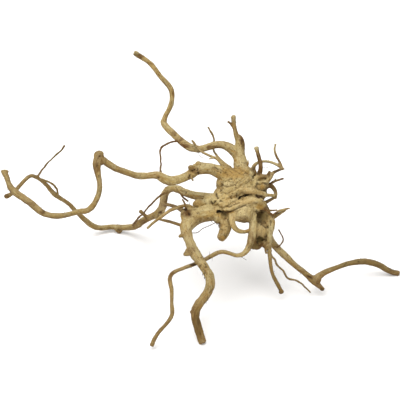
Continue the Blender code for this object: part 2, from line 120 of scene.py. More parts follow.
# Spread of the blend between roots, squeeze of grain space, and the burl's middle and half sizes
BLEND_SPREAD = 8.0
ACROSS_RATE = 1.0
ALONG_RATE = 0.12
BURL_MIDDLE = np.array([241.0, 194.0, 4.0])
BURL_HALF = np.array([31.0, 27.0, 27.0])

# Where burl, hollows and patches fade out, as shares of their half sizes
BURL_EDGE = (0.8, 1.15)
HOLLOW_EDGE = (0.92, 1.22)
PATCH_EDGE = (0.55, 1.25)

# Noise in the skin: waves per millimetre of grain space, and lengths where it isn't squeezed
FLUTE_RATE = 0.36
FIBRE_RATE = 1.1
SWELL_RATE = 0.3
SPLIT_RATE = 0.42
KNOB_LENGTH = 5.2
SWELL_LENGTH = 5.5
PIT_LENGTH = 2.6
CRACK_PATCH = 13.0
PIT_PATCH = 17.0
JITTER_LENGTH = 1.7
RAGGED_LENGTH = 3.1

# Relief: heights and depths, the radius that carries all of it, and how much of it twigs have
FLUTE_HEIGHT = 0.34
KNOB_HEIGHT = 0.3
FIBRE_HEIGHT = 0.1
LONG_SWELL_HEIGHT = 0.22
ROUND_SWELL_HEIGHT = 0.26
CRACK_DEPTH = 0.5
PIT_DEPTH = 0.5
FULL_RADIUS = 4.0
LEAST_SIZE = 0.15
MOST_SIZE = 1.3
TWIG_RELIEF = 0.8

# Noise at which cracks and pits begin and are whole, each with the patches that have them
CRACK_EDGE = (0.93, 0.99)
CRACKED = (0.25, 0.6)
PIT_EDGE = (0.62, 0.85)
PITTED = (0.0, 0.4)

# On the burl: how strong the swells are, how much stronger behind, and the height of its fibres
BURL_SWELL = 0.55
REAR_SWELL = 1.6
BURL_FIBRE_HEIGHT = 0.15

# On the burl: more patches with cracks and with pits, and weaker cracks on the near side
BURL_CRACKED = 0.12
BURL_PITTED = 0.45
BURL_CRACK_LOSS = 0.75

# Darkness of cracks, pits and furrows, shift of what is drawn on the sheet, raggedness of patches
CRACK_SHADE = 0.4
PIT_SHADE = 0.5
FURROW_SHADE = 0.9
FURROW_LIGHT = 0.2
JITTER = 0.45
RAGGED = 0.28

# Painted light on tops, painted shade on undersides and in low places: where each begins and is whole, and
# how much the burl loses of it
TOP_LIGHT_SLOPE = (0.35, 0.95)
TOP_LIGHT_LOSS = 0.5
UNDER_SHADE_SLOPE = (-0.4, 0.6)
UNDER_SHADE_LOSS = 0.55
LOW_SHADE_DEPTH = (0.0, 0.9)
LOW_SHADE_SHIFT = 0.1
LOW_SHADE_SHARE = 0.8
LOW_SHADE_LOSS = 0.45

# Large numbers that scramble the corners of the noise grid into even chances
CORNER_FACTORS = (73856093, 19349663, 83492791)
SEED_FACTOR = 2654435
SCRAMBLE = ((13, 1274126177), (15, 2246822519))
LARGEST_WHOLE = 0x7FFFFFFF
LAST_BITS = 0xFFFF

# Root hairs: step along one, how strongly and how often it thickens
HAIR_STEP = 1.0
HAIR_SWELL = 0.25
HAIR_RATE = 1.9

# Splinters: how many, then least and most lift, length and radius, and how they stray from the grain
SPLINTERS = 170
SPLINTER_LIFT = (0.3, 1.1)
SPLINTER_LENGTH = (1.4, 4.2)
SPLINTER_RADIUS = (0.2, 0.42)
SPLINTER_STRAY = 0.4
SPLINTER_TWIST = 0.9
SPLINTER_ROWS = 7
SPLINTER_START = -0.25
SPLINTER_SINK = 0.12
SPLINTER_TAPER = 1.15
LOWEST_SPLINTER = 1.0

# Inputs and output of the node that mixes two colours
MIX_SHARE = 0
MIX_FIRST = 6
MIX_SECOND = 7
MIX_RESULT = 2

# Heights of the finest grain, in metres, which is left to the materials
WOOD_BUMP = 0.0009
HAIR_BUMP = 0.0002

# Stage: half size and drop of the floor, light from all round, where lights aim, camera's sensor
FLOOR_HALF = 20.0 / MM
FLOOR_DROP = -0.3
WORLD_LIGHT = 0.6
LIGHT_TARGET = Vector((0.0, 0.0, 0.08))
SENSOR = 36.0

# Lights: place, size, power, colour
LIGHTS = {
    "key": ((-0.3, -0.25, 1.5), 1.3, 26.0, (1.0, 0.985, 0.96)),
    "fill": ((0.5, -1.5, 0.9), 1.2, 5.0, (1.0, 1.0, 1.0)),
    "back_fill": ((-0.3, 1.6, 0.8), 1.4, 5.0, (1.0, 1.0, 1.0)),
}

# Roots: across, down, behind, radius
ROOTS = {
    "upper_left": [
        (236, 180, 4, 9), (225, 175, 0, 7.2), (217, 170.8, -3, 5.8), (211, 168.8, -5, 5.4),
        (204, 168.3, -7, 5.8), (197, 169.2, -8, 6.2), (190, 175, -10, 4.6), (184, 177.7, -12, 4.2),
        (177, 180, -13, 4.2), (170, 180.5, -14, 4.5), (164, 178.3, -16, 4.3), (158, 175.4, -18, 3.8),
        (152, 175.3, -20, 3.4), (145, 176, -22, 3.4), (137, 175.4, -25, 3.4), (130, 173.5, -28, 3.3),
        (122, 170.6, -31, 3.3), (116, 168.2, -34, 3.3), (110, 165, -37, 3.4), (104, 160.6, -40, 3.1),
        (100, 157, -43, 3.0)],
    "upper_left_drop": [
        (98.9, 154.4, -44, 2.4), (98.2, 159, -46, 3.9), (97.1, 164.5, -48, 3.8), (97.3, 170, -49, 3.3),
        (98.4, 176, -50, 2.7), (99.5, 182, -50, 2.7), (99.6, 190, -50, 2.8), (97.8, 197, -49, 2.9),
        (94.8, 203.2, -48, 2.9), (91, 207.8, -47, 3), (86.2, 210.8, -46, 2.7), (80, 211.3, -45, 2.5),
        (73, 213.2, -43, 2.5), (66, 215, -41, 2.6), (58, 216, -38, 2.9), (50, 215.3, -35, 2.9),
        (42.2, 212.4, -32, 3.2), (35.4, 207.3, -29, 3.3), (28.6, 201.8, -27, 3.2),
        (20.5, 196.4, -24, 3.2), (15, 192.4, -22, 3.5), (11, 188.2, -21, 3.3), (8.6, 183, -19, 2.8),
        (6.6, 177, -17, 2.9), (4.1, 171.6, -15, 3.2)],
    "middle_left": [
        (226, 199, 8, 7), (212, 198, 9, 4.6), (203, 196.7, 12, 3.9), (196, 195.8, 15, 3.8),
        (190, 194.3, 18, 3.8), (184, 192, 23, 3.9), (179, 189.4, 28, 3.8), (174, 188.2, 34, 3.4),
        (170, 188.9, 39, 3.5), (166.4, 191.5, 44, 3.6), (164.2, 195.5, 49, 3.8),
        (163.4, 200.5, 55, 3.8), (163, 206, 62, 3.8), (161, 210.4, 70, 3.9), (157, 213.9, 78, 3.8),
        (152, 216.6, 87, 3.3), (146.5, 218.9, 95, 3.3), (141.5, 222, 103, 3.3),
        (136.8, 225.2, 110, 3.4), (131.5, 227, 117, 3.1), (125, 227.7, 123, 3), (118, 227.5, 127, 2.9),
        (110.5, 227, 128, 2.6), (104, 227.7, 125.5, 2.5), (97.5, 227.4, 121, 2.5),
        (91.6, 225, 116, 2.5), (86.4, 221, 110, 2.4), (81.4, 216.6, 104, 2.3), (77.2, 212.6, 99, 2.2),
        (73.6, 208.8, 94, 2.1), (69.8, 204.7, 89, 2.1), (65, 201.2, 84, 2.1), (60, 198.2, 79, 2.2),
        (55, 194.8, 74, 2.4), (51.2, 190.8, 70, 2.1), (47.8, 186.4, 66, 1.9), (44, 182.6, 61, 1.8),
        (40.2, 179.6, 57, 1.8), (36, 177.2, 53, 1.9), (32, 175.8, 49, 1.9), (28.2, 177, 45, 1.8),
        (24.4, 180.6, 41, 1.8), (20.4, 185, 36, 1.8), (17, 189, 33, 1.8), (13, 192.8, 29, 1.9),
        (9, 195.4, 25, 2.1), (5.6, 196.5, 22, 2.2)],
    "back_trunk": [
        (243, 186, 6, 9), (242.5, 174, 9, 7.8), (240.9, 165.5, 12, 6.7), (239.6, 158, 15, 6),
        (238.9, 150.5, 18, 5.4), (239, 144, 20, 4), (237, 137.5, 21, 2.8), (235, 130.5, 21, 2.3),
        (233.8, 124, 21, 2.2), (233.4, 119, 20, 2.3), (233.3, 115.9, 19, 2.2)],
    "back_bough": [
        (240, 158, 18, 4.6), (235.2, 152.6, 19, 4.6), (230, 147.9, 20, 4.2), (224, 145.2, 22, 3.8),
        (217, 144.7, 25, 3.6), (210, 146.3, 28, 3.4), (204, 148, 30, 3.3), (198, 149, 33, 3.5),
        (192, 148, 35, 3.6), (186, 144.9, 37, 3.7), (180, 140, 40, 3.4), (175.8, 136.2, 42, 3.3),
        (171.2, 131.6, 44, 3.2), (166.9, 127.1, 46, 3.1), (163.9, 123.2, 48, 3.2),
        (164.5, 119, 48, 2.7), (166.2, 114.5, 48, 2.5), (168.6, 109.8, 48, 2.4), (170.8, 105, 48, 2.6),
        (171.8, 100.5, 47, 2.4), (172.1, 95.5, 47, 2.4), (171.5, 90.7, 46, 2.4),
        (169.3, 86.4, 45, 2.5), (165.7, 82.2, 44, 2.5), (161.9, 78.2, 43, 2.3), (158.2, 73.8, 42, 2.4),
        (155.1, 69.3, 41, 2.4), (152, 65.2, 41, 2.5), (148.2, 61.6, 40, 2.5), (143.3, 58.4, 39, 2.5),
        (138.2, 55.2, 37, 2.5), (134.5, 52.7, 36, 2.4)],
    "front_leg": [
        (228, 207.5, 2, 9.5), (214, 211.8, -3, 8.2), (205.3, 214, -7, 7.6), (196.5, 216.4, -10, 7.4),
        (189.4, 221.8, -13, 7.3), (186.3, 229, -15, 6.3), (188, 237.6, -17, 5), (191, 246, -19, 4.9),
        (195.4, 254, -21, 4.9), (201, 262, -22, 4.4), (206.2, 269.6, -23, 4.3),
        (209.9, 277.2, -23, 4.6), (210.4, 284, -23, 4.7), (208.1, 291.2, -23, 4.6),
        (203.6, 298.2, -22, 4.4), (199, 304.4, -22, 4.3), (195.7, 311, -22, 4.3),
        (195.2, 318, -22, 4.1), (197.3, 326, -22, 3.9), (200, 334, -22, 3.9), (202.7, 342.2, -22, 4)],
    "slim_leg": [
        (248, 206, -4, 5.5), (252, 214, -7, 4.4), (253, 223, -9, 4), (252.4, 232, -11, 4),
        (250.9, 240, -12, 3.8), (249.4, 246, -13, 3.4), (246.5, 251, -14, 2.9),
        (242.2, 254.4, -15, 2.5), (236.6, 255.4, -15, 2.1), (230, 253.4, -16, 2), (224, 251.8, -16, 2),
        (218, 252.7, -16, 2), (212, 255.7, -16, 2), (206, 259.1, -15, 1.9), (199.5, 262.2, -15, 1.8),
        (193.5, 264.6, -16, 1.8), (187.5, 266.6, -18, 1.8), (181.5, 269, -20, 1.8),
        (176.3, 271, -21, 1.9), (172.2, 273.6, -22, 2), (170, 277.6, -23, 2), (170.3, 283, -24, 2),
        (171.6, 289, -25, 1.9), (171.9, 296, -26, 1.8), (171.7, 303, -27, 1.8), (172, 309, -28, 2),
        (172, 314.2, -29, 2), (169.4, 319.7, -30, 2), (165.7, 324.5, -30, 1.9),
        (161.8, 328.8, -31, 1.9), (158, 333.3, -31, 1.9), (154.4, 339, -31, 2),
        (151.6, 345.8, -31, 2.1)],
    "right_root": [
        (260, 226, 14, 5.6), (265, 232, 15, 5.2), (269.4, 238.6, 16, 4), (274, 244.5, 17, 3.2),
        (278.6, 249.5, 18, 3.2), (283.5, 254.3, 20, 3.3), (288.8, 259.5, 22, 3.2),
        (294.5, 264.9, 24, 2.9), (301.2, 270.3, 26, 2.8), (307.5, 275.3, 29, 3),
        (313.3, 280.5, 31, 3.7), (317.8, 284.8, 33, 2.8), (320.7, 287.5, 33, 2.1),
        (323.2, 289.7, 34, 1.8)],
    "right_bough": [
        (312.5, 280.6, 31, 3.2), (316.6, 278, 32, 3.4), (321, 274.6, 33, 3), (327, 271.4, 35, 2.6),
        (335, 268, 39, 2.5), (343, 265.1, 43, 2.5), (351, 262.9, 47, 2.5), (359, 261.6, 51, 2.8),
        (366, 261.6, 55, 2.8), (373, 262.9, 58, 2.9), (380, 265.6, 61, 3), (386, 269.2, 63, 2.8),
        (392, 271.9, 65.6, 2.6), (398.6, 273.2, 68, 2.8)],
    "middle_leg": [
        (261.6, 206, 2, 3.4), (266.6, 211.6, -1, 2.4), (270.7, 216.6, -2, 2.1), (272.4, 221, -2, 2.6),
        (271.6, 227.5, -1, 2.8), (270, 234, 1, 2.4), (269.3, 240, 3, 2.4), (269, 246, 6, 2.5),
        (269.4, 252, 9, 2.2), (270.2, 260, 12, 1.8), (271, 267, 15, 1.8), (272.5, 274, 18, 1.8),
        (275.4, 280.3, 21, 1.9), (278.7, 286.3, 24, 1.9), (280.7, 289.9, 26, 1.8),
        (282, 292.3, 27, 2.2)],
    "front_loop": [
        (234, 206, -6, 3.4), (232, 212, -13, 2.7), (231.6, 218.5, -16, 2.6), (233.1, 225, -17, 2.6),
        (237, 230, -17, 2.3), (242, 231.8, -16, 1.9), (247, 231.3, -14, 1.9), (252.5, 229.5, -11, 2)],
    "cut_stub": [
        (227, 211, 0, 8.6), (225.6, 219, -3, 8.1), (225.7, 226, -5, 6.4), (224.2, 232.5, -7, 5.6),
        (220.9, 238.9, -9, 4.2)],
    "rear_stub": [(233, 192, 12, 8), (229.5, 188, 25, 6.2), (227.3, 185.6, 33, 5.2)],
    "rear_stub_low": [(249, 201, 10, 7), (252.4, 205, 23, 5), (254.4, 207.6, 31, 4.1)],
    "ridge_root": [
        (241, 190.6, -12, 2.5), (245, 190.3, -16, 3), (249, 190.4, -17, 2.9), (254, 191.5, -15.6, 2.6),
        (260, 193.8, -12, 2), (265.5, 195, -8, 1.6), (271, 195.3, -3, 1.5), (276, 195.6, 2, 1.5)],
    "fold": [
        (222, 212.5, -9, 2.2), (229.5, 209.8, -14, 2.4), (237, 206, -16, 2.9), (245, 202.6, -16, 3.1),
        (253, 201.2, -14, 3), (260.5, 201.8, -9, 2.7), (265, 205, -2, 2.4)],
}

# Twigs, stubs and splinters: the same four numbers
TWIGS = {
    "bough_spine": [
        (239.4, 134.6, 20, 0.5), (241.4, 137.4, 20, 1.2), (243, 142, 19, 1.6), (243, 150, 18, 1.8),
        (243, 158, 16, 2)],
    "trunk_spur": [
        (234.4, 129, 21, 1.4), (232.4, 126.3, 20, 1.1), (230, 123, 18, 1), (228, 121.8, 17, 0.9)],
    "rear_twig": [
        (234, 172, 10, 2.2), (229, 167, 14, 1.6), (225, 163.8, 19, 1.3), (220, 159.2, 25, 1.2),
        (216, 154.4, 31, 1.1), (213.7, 150.4, 35, 1.1), (213.6, 146, 37, 1), (214.2, 141, 37, 1),
        (213, 135.7, 36, 1), (210.2, 131.2, 34, 0.9), (208, 127, 32, 0.6)],
    "fore_twig": [
        (229, 172, 0, 2.8), (224.6, 166.8, 4, 2.2), (220.6, 162, 8, 1.8), (217, 158.6, 12, 1.5),
        (212, 156.6, 16, 1.3), (207, 154.4, 20, 1.2), (201.8, 151.7, 24, 1.1), (197.4, 147.4, 27, 1),
        (192, 140.4, 28, 0.9)],
    "fore_twig_spur": [(215, 157.6, 13, 0.9), (212, 158.2, 12, 0.7), (209.2, 158.8, 11, 0.6)],
    "trunk_bristle": [(246, 169, 8, 1), (247.8, 165, 6, 0.6), (248, 160.4, 5, 0.4)],
    "crown_stub": [
        (256, 183, 4, 3), (258.3, 176.5, 1, 2.4), (260.2, 171, -1, 2.2), (260.7, 166, -2, 2.1),
        (260, 161, -2, 1.9), (258.7, 156, -2, 1.8), (257.4, 151.4, -2, 1.8), (256.3, 147.4, -2, 2.4)],
    "crown_arch": [
        (259, 180, 8, 2.4), (257.3, 176.5, 7, 1.9), (254.8, 173, 6, 2.1), (253.3, 169.5, 5, 2.2),
        (254.4, 165.6, 5, 1.8), (257.4, 163, 6, 1.4), (262, 161.5, 8, 1.3), (267.4, 161.4, 9, 1.3),
        (272.6, 162.7, 9, 1.3), (277.6, 165, 9, 1.4), (281.6, 167.7, 8, 1.6), (283.2, 169.6, 8, 1.4)],
    "crown_whip": [
        (282.5, 169.3, 8.3, 1), (281.2, 165, 9, 1.1), (278.6, 160, 10, 1.1), (275.9, 155, 10, 1.1),
        (274.6, 149, 10, 1.1), (275.5, 144.2, 9, 0.9)],
    "crown_prop": [
        (258, 190, -3, 3.2), (263.5, 185.6, -5, 2.7), (267.8, 181, -6, 2.2), (270.8, 176.8, -6, 1.9),
        (273, 173, -4, 1.6), (277, 170.8, 0, 1.2), (281.4, 169.1, 5.4, 1.2)],
    "crown_peg": [(266.4, 177.5, -4, 1.3), (267.6, 174.6, -5, 1), (269.8, 171, -5, 1)],
    "crown_shelf": [(255, 179, 0, 2.4), (261, 176.6, -2, 2.2), (267.5, 176.4, -4, 1.9)],
    "crown_shelf_low": [(253, 184.4, 0, 2.2), (260, 182.4, -5, 1.5), (266.5, 181.8, -7, 1.3)],
    "side_twig": [
        (267, 187, 3, 1.6), (271, 183.2, 2, 1.1), (274.4, 181.4, 1, 0.9), (278.4, 180.1, 0, 0.8),
        (283.3, 178.6, -2, 0.7)],
    "side_twig_spur": [(275.8, 181.2, 0, 0.7), (275, 178.8, -1, 0.5)],
    "side_hook": [
        (262, 189, 6, 4), (266.5, 185.6, 7, 2.8), (270.5, 185.6, 8, 2.2), (273.4, 188, 8, 1.9),
        (275.2, 191.2, 6, 1.8), (275.8, 195, 4, 1.6), (275.8, 198.6, 2, 1)],
    "side_return": [(276, 196.4, 3, 1.4), (270.8, 199.6, 4, 1.5), (264.5, 203, 4, 1.8)],
    "right_prong": [
        (268, 221, 4, 2.2), (273.2, 217.8, 2, 1.9), (279, 214, 1, 1.5), (283.6, 211.4, -1, 1.1),
        (286, 210, -2, 0.6)],
    "right_prong_low": [
        (268.6, 219, 0, 1.6), (273.4, 214.9, -2, 1), (279, 210.9, -3, 0.8), (284.6, 209.2, -4, 0.8),
        (289.8, 208.2, -5, 0.5)],
    "right_needle": [(262, 210.4, 0, 1.2), (269.4, 210.4, -2, 0.8), (277, 210.2, -3, 0.7)],
    "right_needle_low": [(264, 208, -3, 1.2), (268.4, 211.6, -6, 0.9), (273.4, 215.4, -6, 0.8)],
    "right_whisker": [
        (274, 247, 16, 1.2), (278.6, 246, 13, 0.7), (281.2, 243.8, 11, 0.6), (283, 239.5, 8, 0.5),
        (281, 234.2, 6, 0.5), (278.6, 229.6, 4, 0.5)],
    "notch_thorn": [(267, 243, 5, 2), (265.8, 248, 4, 1.5), (266.2, 253.6, 4, 0.6)],
    "leg_thorn": [(271, 250, 8, 1.4), (268, 252.4, 7, 0.7), (265.8, 253.4, 6, 0.5)],
    "leg_tendril": [
        (269.4, 251, 10, 1.4), (271.8, 256.2, 11, 0.8), (275, 260, 12, 0.8), (276.8, 264.4, 14, 0.8),
        (279.8, 267.6, 15, 0.8), (283, 270.3, 16, 0.8), (284.7, 273.6, 17, 0.8), (286.4, 277, 19, 0.8),
        (290, 279.2, 20, 0.8), (295, 279.9, 22, 0.8), (299, 281.8, 23, 0.8), (303.6, 286, 25, 0.7),
        (307.6, 289.6, 27, 0.6), (310.4, 292.6, 28, 0.5)],
    "leg_knob": [(188, 232.6, -16, 4.6), (183.6, 234.4, -18, 2.8), (178.8, 236.8, -19, 1)],
    "leg_knob_low": [(192, 249.6, -21, 4.6), (187.6, 252.8, -22, 3.4), (183.6, 255, -23, 1.2)],
    "cross_root": [
        (198, 210.5, -7, 2.4), (194, 208.3, -9, 1.7), (188.3, 205.6, -12, 1.5), (182, 206.2, -14, 1.7),
        (176, 208, -14, 1.8), (171, 209.9, -14, 1.7), (166, 213.2, -13, 1.5), (160, 217.8, -11, 1.4),
        (155, 221.4, -9, 1.3), (151, 224.8, -8, 1.2), (147.2, 228.6, -7, 1.2)],
    "bridge_root": [
        (161.5, 204, 60, 2.2), (166, 204.4, 50, 1.7), (172, 205.6, 32, 1.7), (178, 208, 14, 1.9),
        (184, 211.5, -2, 2.6)],
    "low_bridge": [
        (189, 227.5, -12, 2.4), (180, 224.8, -8, 1.7), (172, 222.4, -2, 1.5), (166, 220.8, 3, 1.4),
        (157.4, 219, 9, 0.9)],
    "leg_spike": [
        (189.6, 218, -15, 1.8), (187.8, 213, -18, 1.3), (186.4, 209.4, -20, 0.9),
        (184.7, 204, -22, 0.9), (182.3, 199.3, -23, 0.6)],
    "elbow_twig": [
        (180.5, 191, 26, 1.5), (181.6, 195, 23, 1), (184, 198, 21, 0.9), (188, 201.2, 18, 0.7)],
    "long_twig": [
        (167, 191.5, 40, 1.1), (161, 195.1, 40, 0.8), (156, 199.6, 42, 0.8), (150, 205.4, 48, 0.75),
        (145.4, 210.4, 56, 0.75), (143.2, 213.8, 66, 0.7), (139, 217.2, 78, 0.8),
        (136, 220.8, 90, 0.8), (133, 225.4, 106, 1)],
    "elbow_peg": [(148.5, 218.4, 90, 2.2), (144.6, 215, 87, 1.6), (140, 210.9, 84, 1.8)],
    "hanging_twig": [
        (180, 141, 38, 1.2), (176, 141.4, 37, 0.9), (170, 142.2, 34, 0.8), (165, 144.6, 31, 0.8),
        (161, 147.8, 28, 0.8), (160, 152, 24, 0.7), (160.7, 158, 19, 0.7), (160.8, 165, 11, 0.7),
        (160.6, 173.6, -8, 0.9)],
    "far_twig": [
        (37.4, 177, 53, 1.2), (41.7, 170.5, 51, 0.8), (45.8, 165, 49, 0.75), (49.8, 161, 47, 0.7),
        (53.8, 157.1, 46, 0.7), (57.8, 153.5, 44, 0.7), (61.9, 150, 42, 0.7), (64.6, 145.4, 41, 0.7)],
    "far_loop": [
        (41, 179.2, 58, 1), (44.5, 180.2, 60, 0.8), (48.5, 181.7, 62, 0.8), (53, 184.6, 65, 0.8),
        (56.6, 188.4, 70, 0.8), (57.5, 192, 74, 0.8), (57.6, 196.4, 77, 1)],
    "ground_nub": [(121.4, 227.6, 125, 2.6), (119.8, 230.4, 127.6, 2.3), (118.2, 232.2, 129.4, 2.1)],
    "ground_nub_small": [(102.5, 226.6, 124, 1.8), (102, 229.9, 125.4, 1.1)],
    "knot_peg": [(197, 171, -12, 3.2), (192, 168.6, -15, 2.4), (188.8, 166.7, -16, 1.8)],
    "knot_lump": [(203, 169, -8, 4.6), (199.5, 165.5, -10, 3.6), (198, 164, -11, 2.6)],
    "knot_sliver": [(190, 176, -14, 1.4), (191.8, 178.4, -16, 0.8), (193, 180.6, -17, 0.6)],
    "upper_left_nub": [(104, 161, -41, 1.6), (106, 157.8, -42, 0.7)],
}

# Swollen parts of the burl: across, down, behind, and half sizes across, down, behind
LUMPS = [
    (235.5, 184, 4, 19.6, 13, 17),
    (229, 196, 4, 16, 12, 17),
    (245, 194, 4, 16, 14, 17),
    (255, 191, 6, 11.5, 14, 12),
    (243, 206, 2, 18, 9.5, 14),
    (218, 207, 3, 10, 8, 11),
    (200, 204, 0, 7.5, 5.2, 6),
    (244, 213.6, 2, 12.5, 9.4, 10),
    (217, 212, -2, 8.5, 10, 8),
    (263, 186, -1, 5.6, 5.6, 5.6),
    (189, 216, -10, 8.6, 9, 7),
    (262, 214, 12, 8.5, 12, 7),
    (262, 230, 14, 7, 15, 5),
    (257, 244, 10, 6, 6, 5),
    (243, 174, 7, 11.5, 9, 11),
]

# Hollows rotted into the burl: the same six numbers
HOLLOWS = [
    (262.4, 216.6, -4, 5.6, 5.6, 8),
    (260.2, 239.2, 1, 4.4, 4, 9),
    (220, 211.6, -15, 3.6, 2, 8),
    (224, 215.5, -11, 3, 2.6, 3),
    (260, 197.6, -9, 2.6, 1.2, 5),
    (193.2, 170.2, -14, 1.1, 1.0, 4),
    (262.9, 250, 10, 1.7, 3, 9),
    (220.4, 246.4, -9, 5.4, 3.6, 6),
    (207.8, 347, -22, 4.6, 3.8, 7),
    (229.8, 243.4, -9, 4.8, 4.8, 8),
    (243, 184, 23, 5, 5.5, 6),
]

# Swellings that are too low for a solid of their own: the same six numbers
SWELLINGS = [
    (241, 208.5, -15, 9.5, 6.5, 5), (242, 214.6, -14, 7.5, 7.2, 6), (248, 212.5, -12, 5, 8.5, 6),
    (253.4, 207, -9.6, 7, 5.4, 5), (251, 197.8, -14.4, 8, 3, 3.6), (260.4, 207, -3.4, 6, 4.6, 6),
    (263, 229, 6.6, 7.4, 9, 5), (258.4, 229.4, -1.5, 4.6, 7, 6), (254.6, 245.4, 7, 5.4, 4.4, 4),
    (265, 217, 6, 4.6, 8, 5), (264.4, 244.4, 7, 3, 4.2, 3.4), (264, 179, 0, 5, 3, 3),
    (261.5, 229.5, 2, 6, 7.5, 6.5), (237, 202.4, -12.6, 8, 4, 4.6), (227, 204.4, -9.6, 9, 4.6, 5),
    (219.6, 219, -6, 6.4, 5, 6), (101.6, 161, -44, 4, 4.2, 4), (236, 214, -14.6, 5.6, 7.4, 4.6),
    (226, 221, -6, 8, 6, 6.5), (223, 232, -7, 4.8, 6, 4.6), (230, 217, -6, 5.5, 6, 6),
    (252, 240, 5, 4.6, 9, 4), (208, 203, -1, 7, 4, 6), (98.8, 155.6, -44, 5.1, 5.2, 5),
    (96.4, 162, -46, 3.2, 7, 3.6), (4.8, 171.4, -15, 4, 2, 3.4), (7, 196.2, 23, 3.2, 2.6, 3),
    (397.4, 273.4, 67.6, 1.8, 3.3, 3), (321.8, 289, 33.6, 2.4, 2.1, 2.2), (317.6, 280, 33, 4, 3.2, 3),
    (191.4, 312.2, -22, 1.8, 1.5, 2), (200.4, 343.2, -22, 1.9, 1.9, 2),
    (117.8, 230.4, 127.5, 3.4, 1.8, 2.6), (320.6, 275.4, 33.4, 3.8, 3, 3),
    (281.3, 292.4, 27, 2.8, 1.8, 2.4), (238.8, 140.5, 20.5, 2.8, 3.6, 3), (256.2, 148.3, -2, 2.2, 2.1, 2.2),
    (268, 221, -1, 3.2, 5, 3), (235, 214, -14, 4, 5, 3.4), (255, 198.6, -12, 9, 3, 5),
    (218, 201, -6, 9, 5, 6.5), (232, 190, -9, 12, 8, 7), (198.6, 163.8, -12, 3, 2.8, 3),
    (190.8, 167.4, -15, 3, 2.6, 3), (212, 198.5, 1, 8, 5, 6),
]

# Lines that only steer the grain over the burl: across, down, behind, radius
GRAIN_GUIDES = [
    [(254, 176, -2, 6), (248, 182, -6, 9), (238, 189, -8, 10), (226, 198, -8, 9), (216, 206, -6, 7)],
    [(258, 190, -4, 6), (248, 200, -6, 8), (238, 208, -6, 7)],
    [(256, 180, 14, 7), (244, 187, 14, 11), (228, 195, 13, 9)],
]

# How brown age and damp have made each root, from 0 to 1, at even shares of its length
BROWN = {
    "upper_left": (0.0, 0.0, 0.1, 0.05, 0.15, 0.3), "upper_left_drop": (0.5, 0.3, 0.25, 0.4, 0.4, 0.4),
    "middle_left": (0.0, 0.05, 0.15, 0.15, 0.3, 0.35, 0.5, 0.6), "back_trunk": (0.1, 0.15, 0.1, 0.2, 0.15),
    "back_bough": (0.15, 0.1, 0.15, 0.1, 0.2, 0.15),
    "front_leg": (0.0, 0.0, 0.0, 0.05, 0.05, 0.1, 0.15, 0.2, 0.6, 0.9, 0.45),
    "slim_leg": (0.0, 0.15, 0.4, 0.4, 0.45, 0.6), "cut_stub": (0.1, 0.2, 0.3),
    "right_root": (0.2, 0.1, 0.3, 0.7), "right_bough": (0.45, 0.5, 0.55, 0.65, 0.7),
    "middle_leg": (0.1, 0.15, 0.35, 0.5), "front_loop": (0.0, 0.1, 0.35), "ridge_root": (0.1,),
    "bough_spine": (0.9,), "trunk_spur": (0.75,), "rear_twig": (0.35, 0.5), "fore_twig": (0.2, 0.5),
    "crown_stub": (0.9, 0.95, 0.95, 0.9, 0.85, 0.1), "crown_arch": (0.95, 0.8, 0.15, 0.0, 0.05, 0.1),
    "crown_whip": (0.95, 0.9, 0.45, 0.15), "crown_prop": (0.1, 0.3, 0.9), "crown_peg": (0.9,),
    "crown_shelf": (0.5,), "side_twig": (1.0,), "side_hook": (0.65,), "side_return": (0.65,),
    "right_prong": (0.35,), "right_prong_low": (1.0, 0.9, 0.3, 0.6), "right_needle": (1.0,),
    "right_needle_low": (1.0,), "right_whisker": (1.0,), "notch_thorn": (0.8,), "leg_tendril": (0.6,),
    "leg_knob": (0.5,), "leg_knob_low": (0.35,), "cross_root": (0.3,), "bridge_root": (0.6,),
    "low_bridge": (0.7,), "leg_spike": (0.9,), "elbow_twig": (0.95,), "long_twig": (0.9,),
    "elbow_peg": (0.9, 0.5), "hanging_twig": (1.0,), "far_twig": (0.95,), "far_loop": (0.6,),
    "ground_nub": (0.8,), "knot_peg": (0.6,), "knot_lump": (0.2,), "knot_sliver": (0.6,),
}

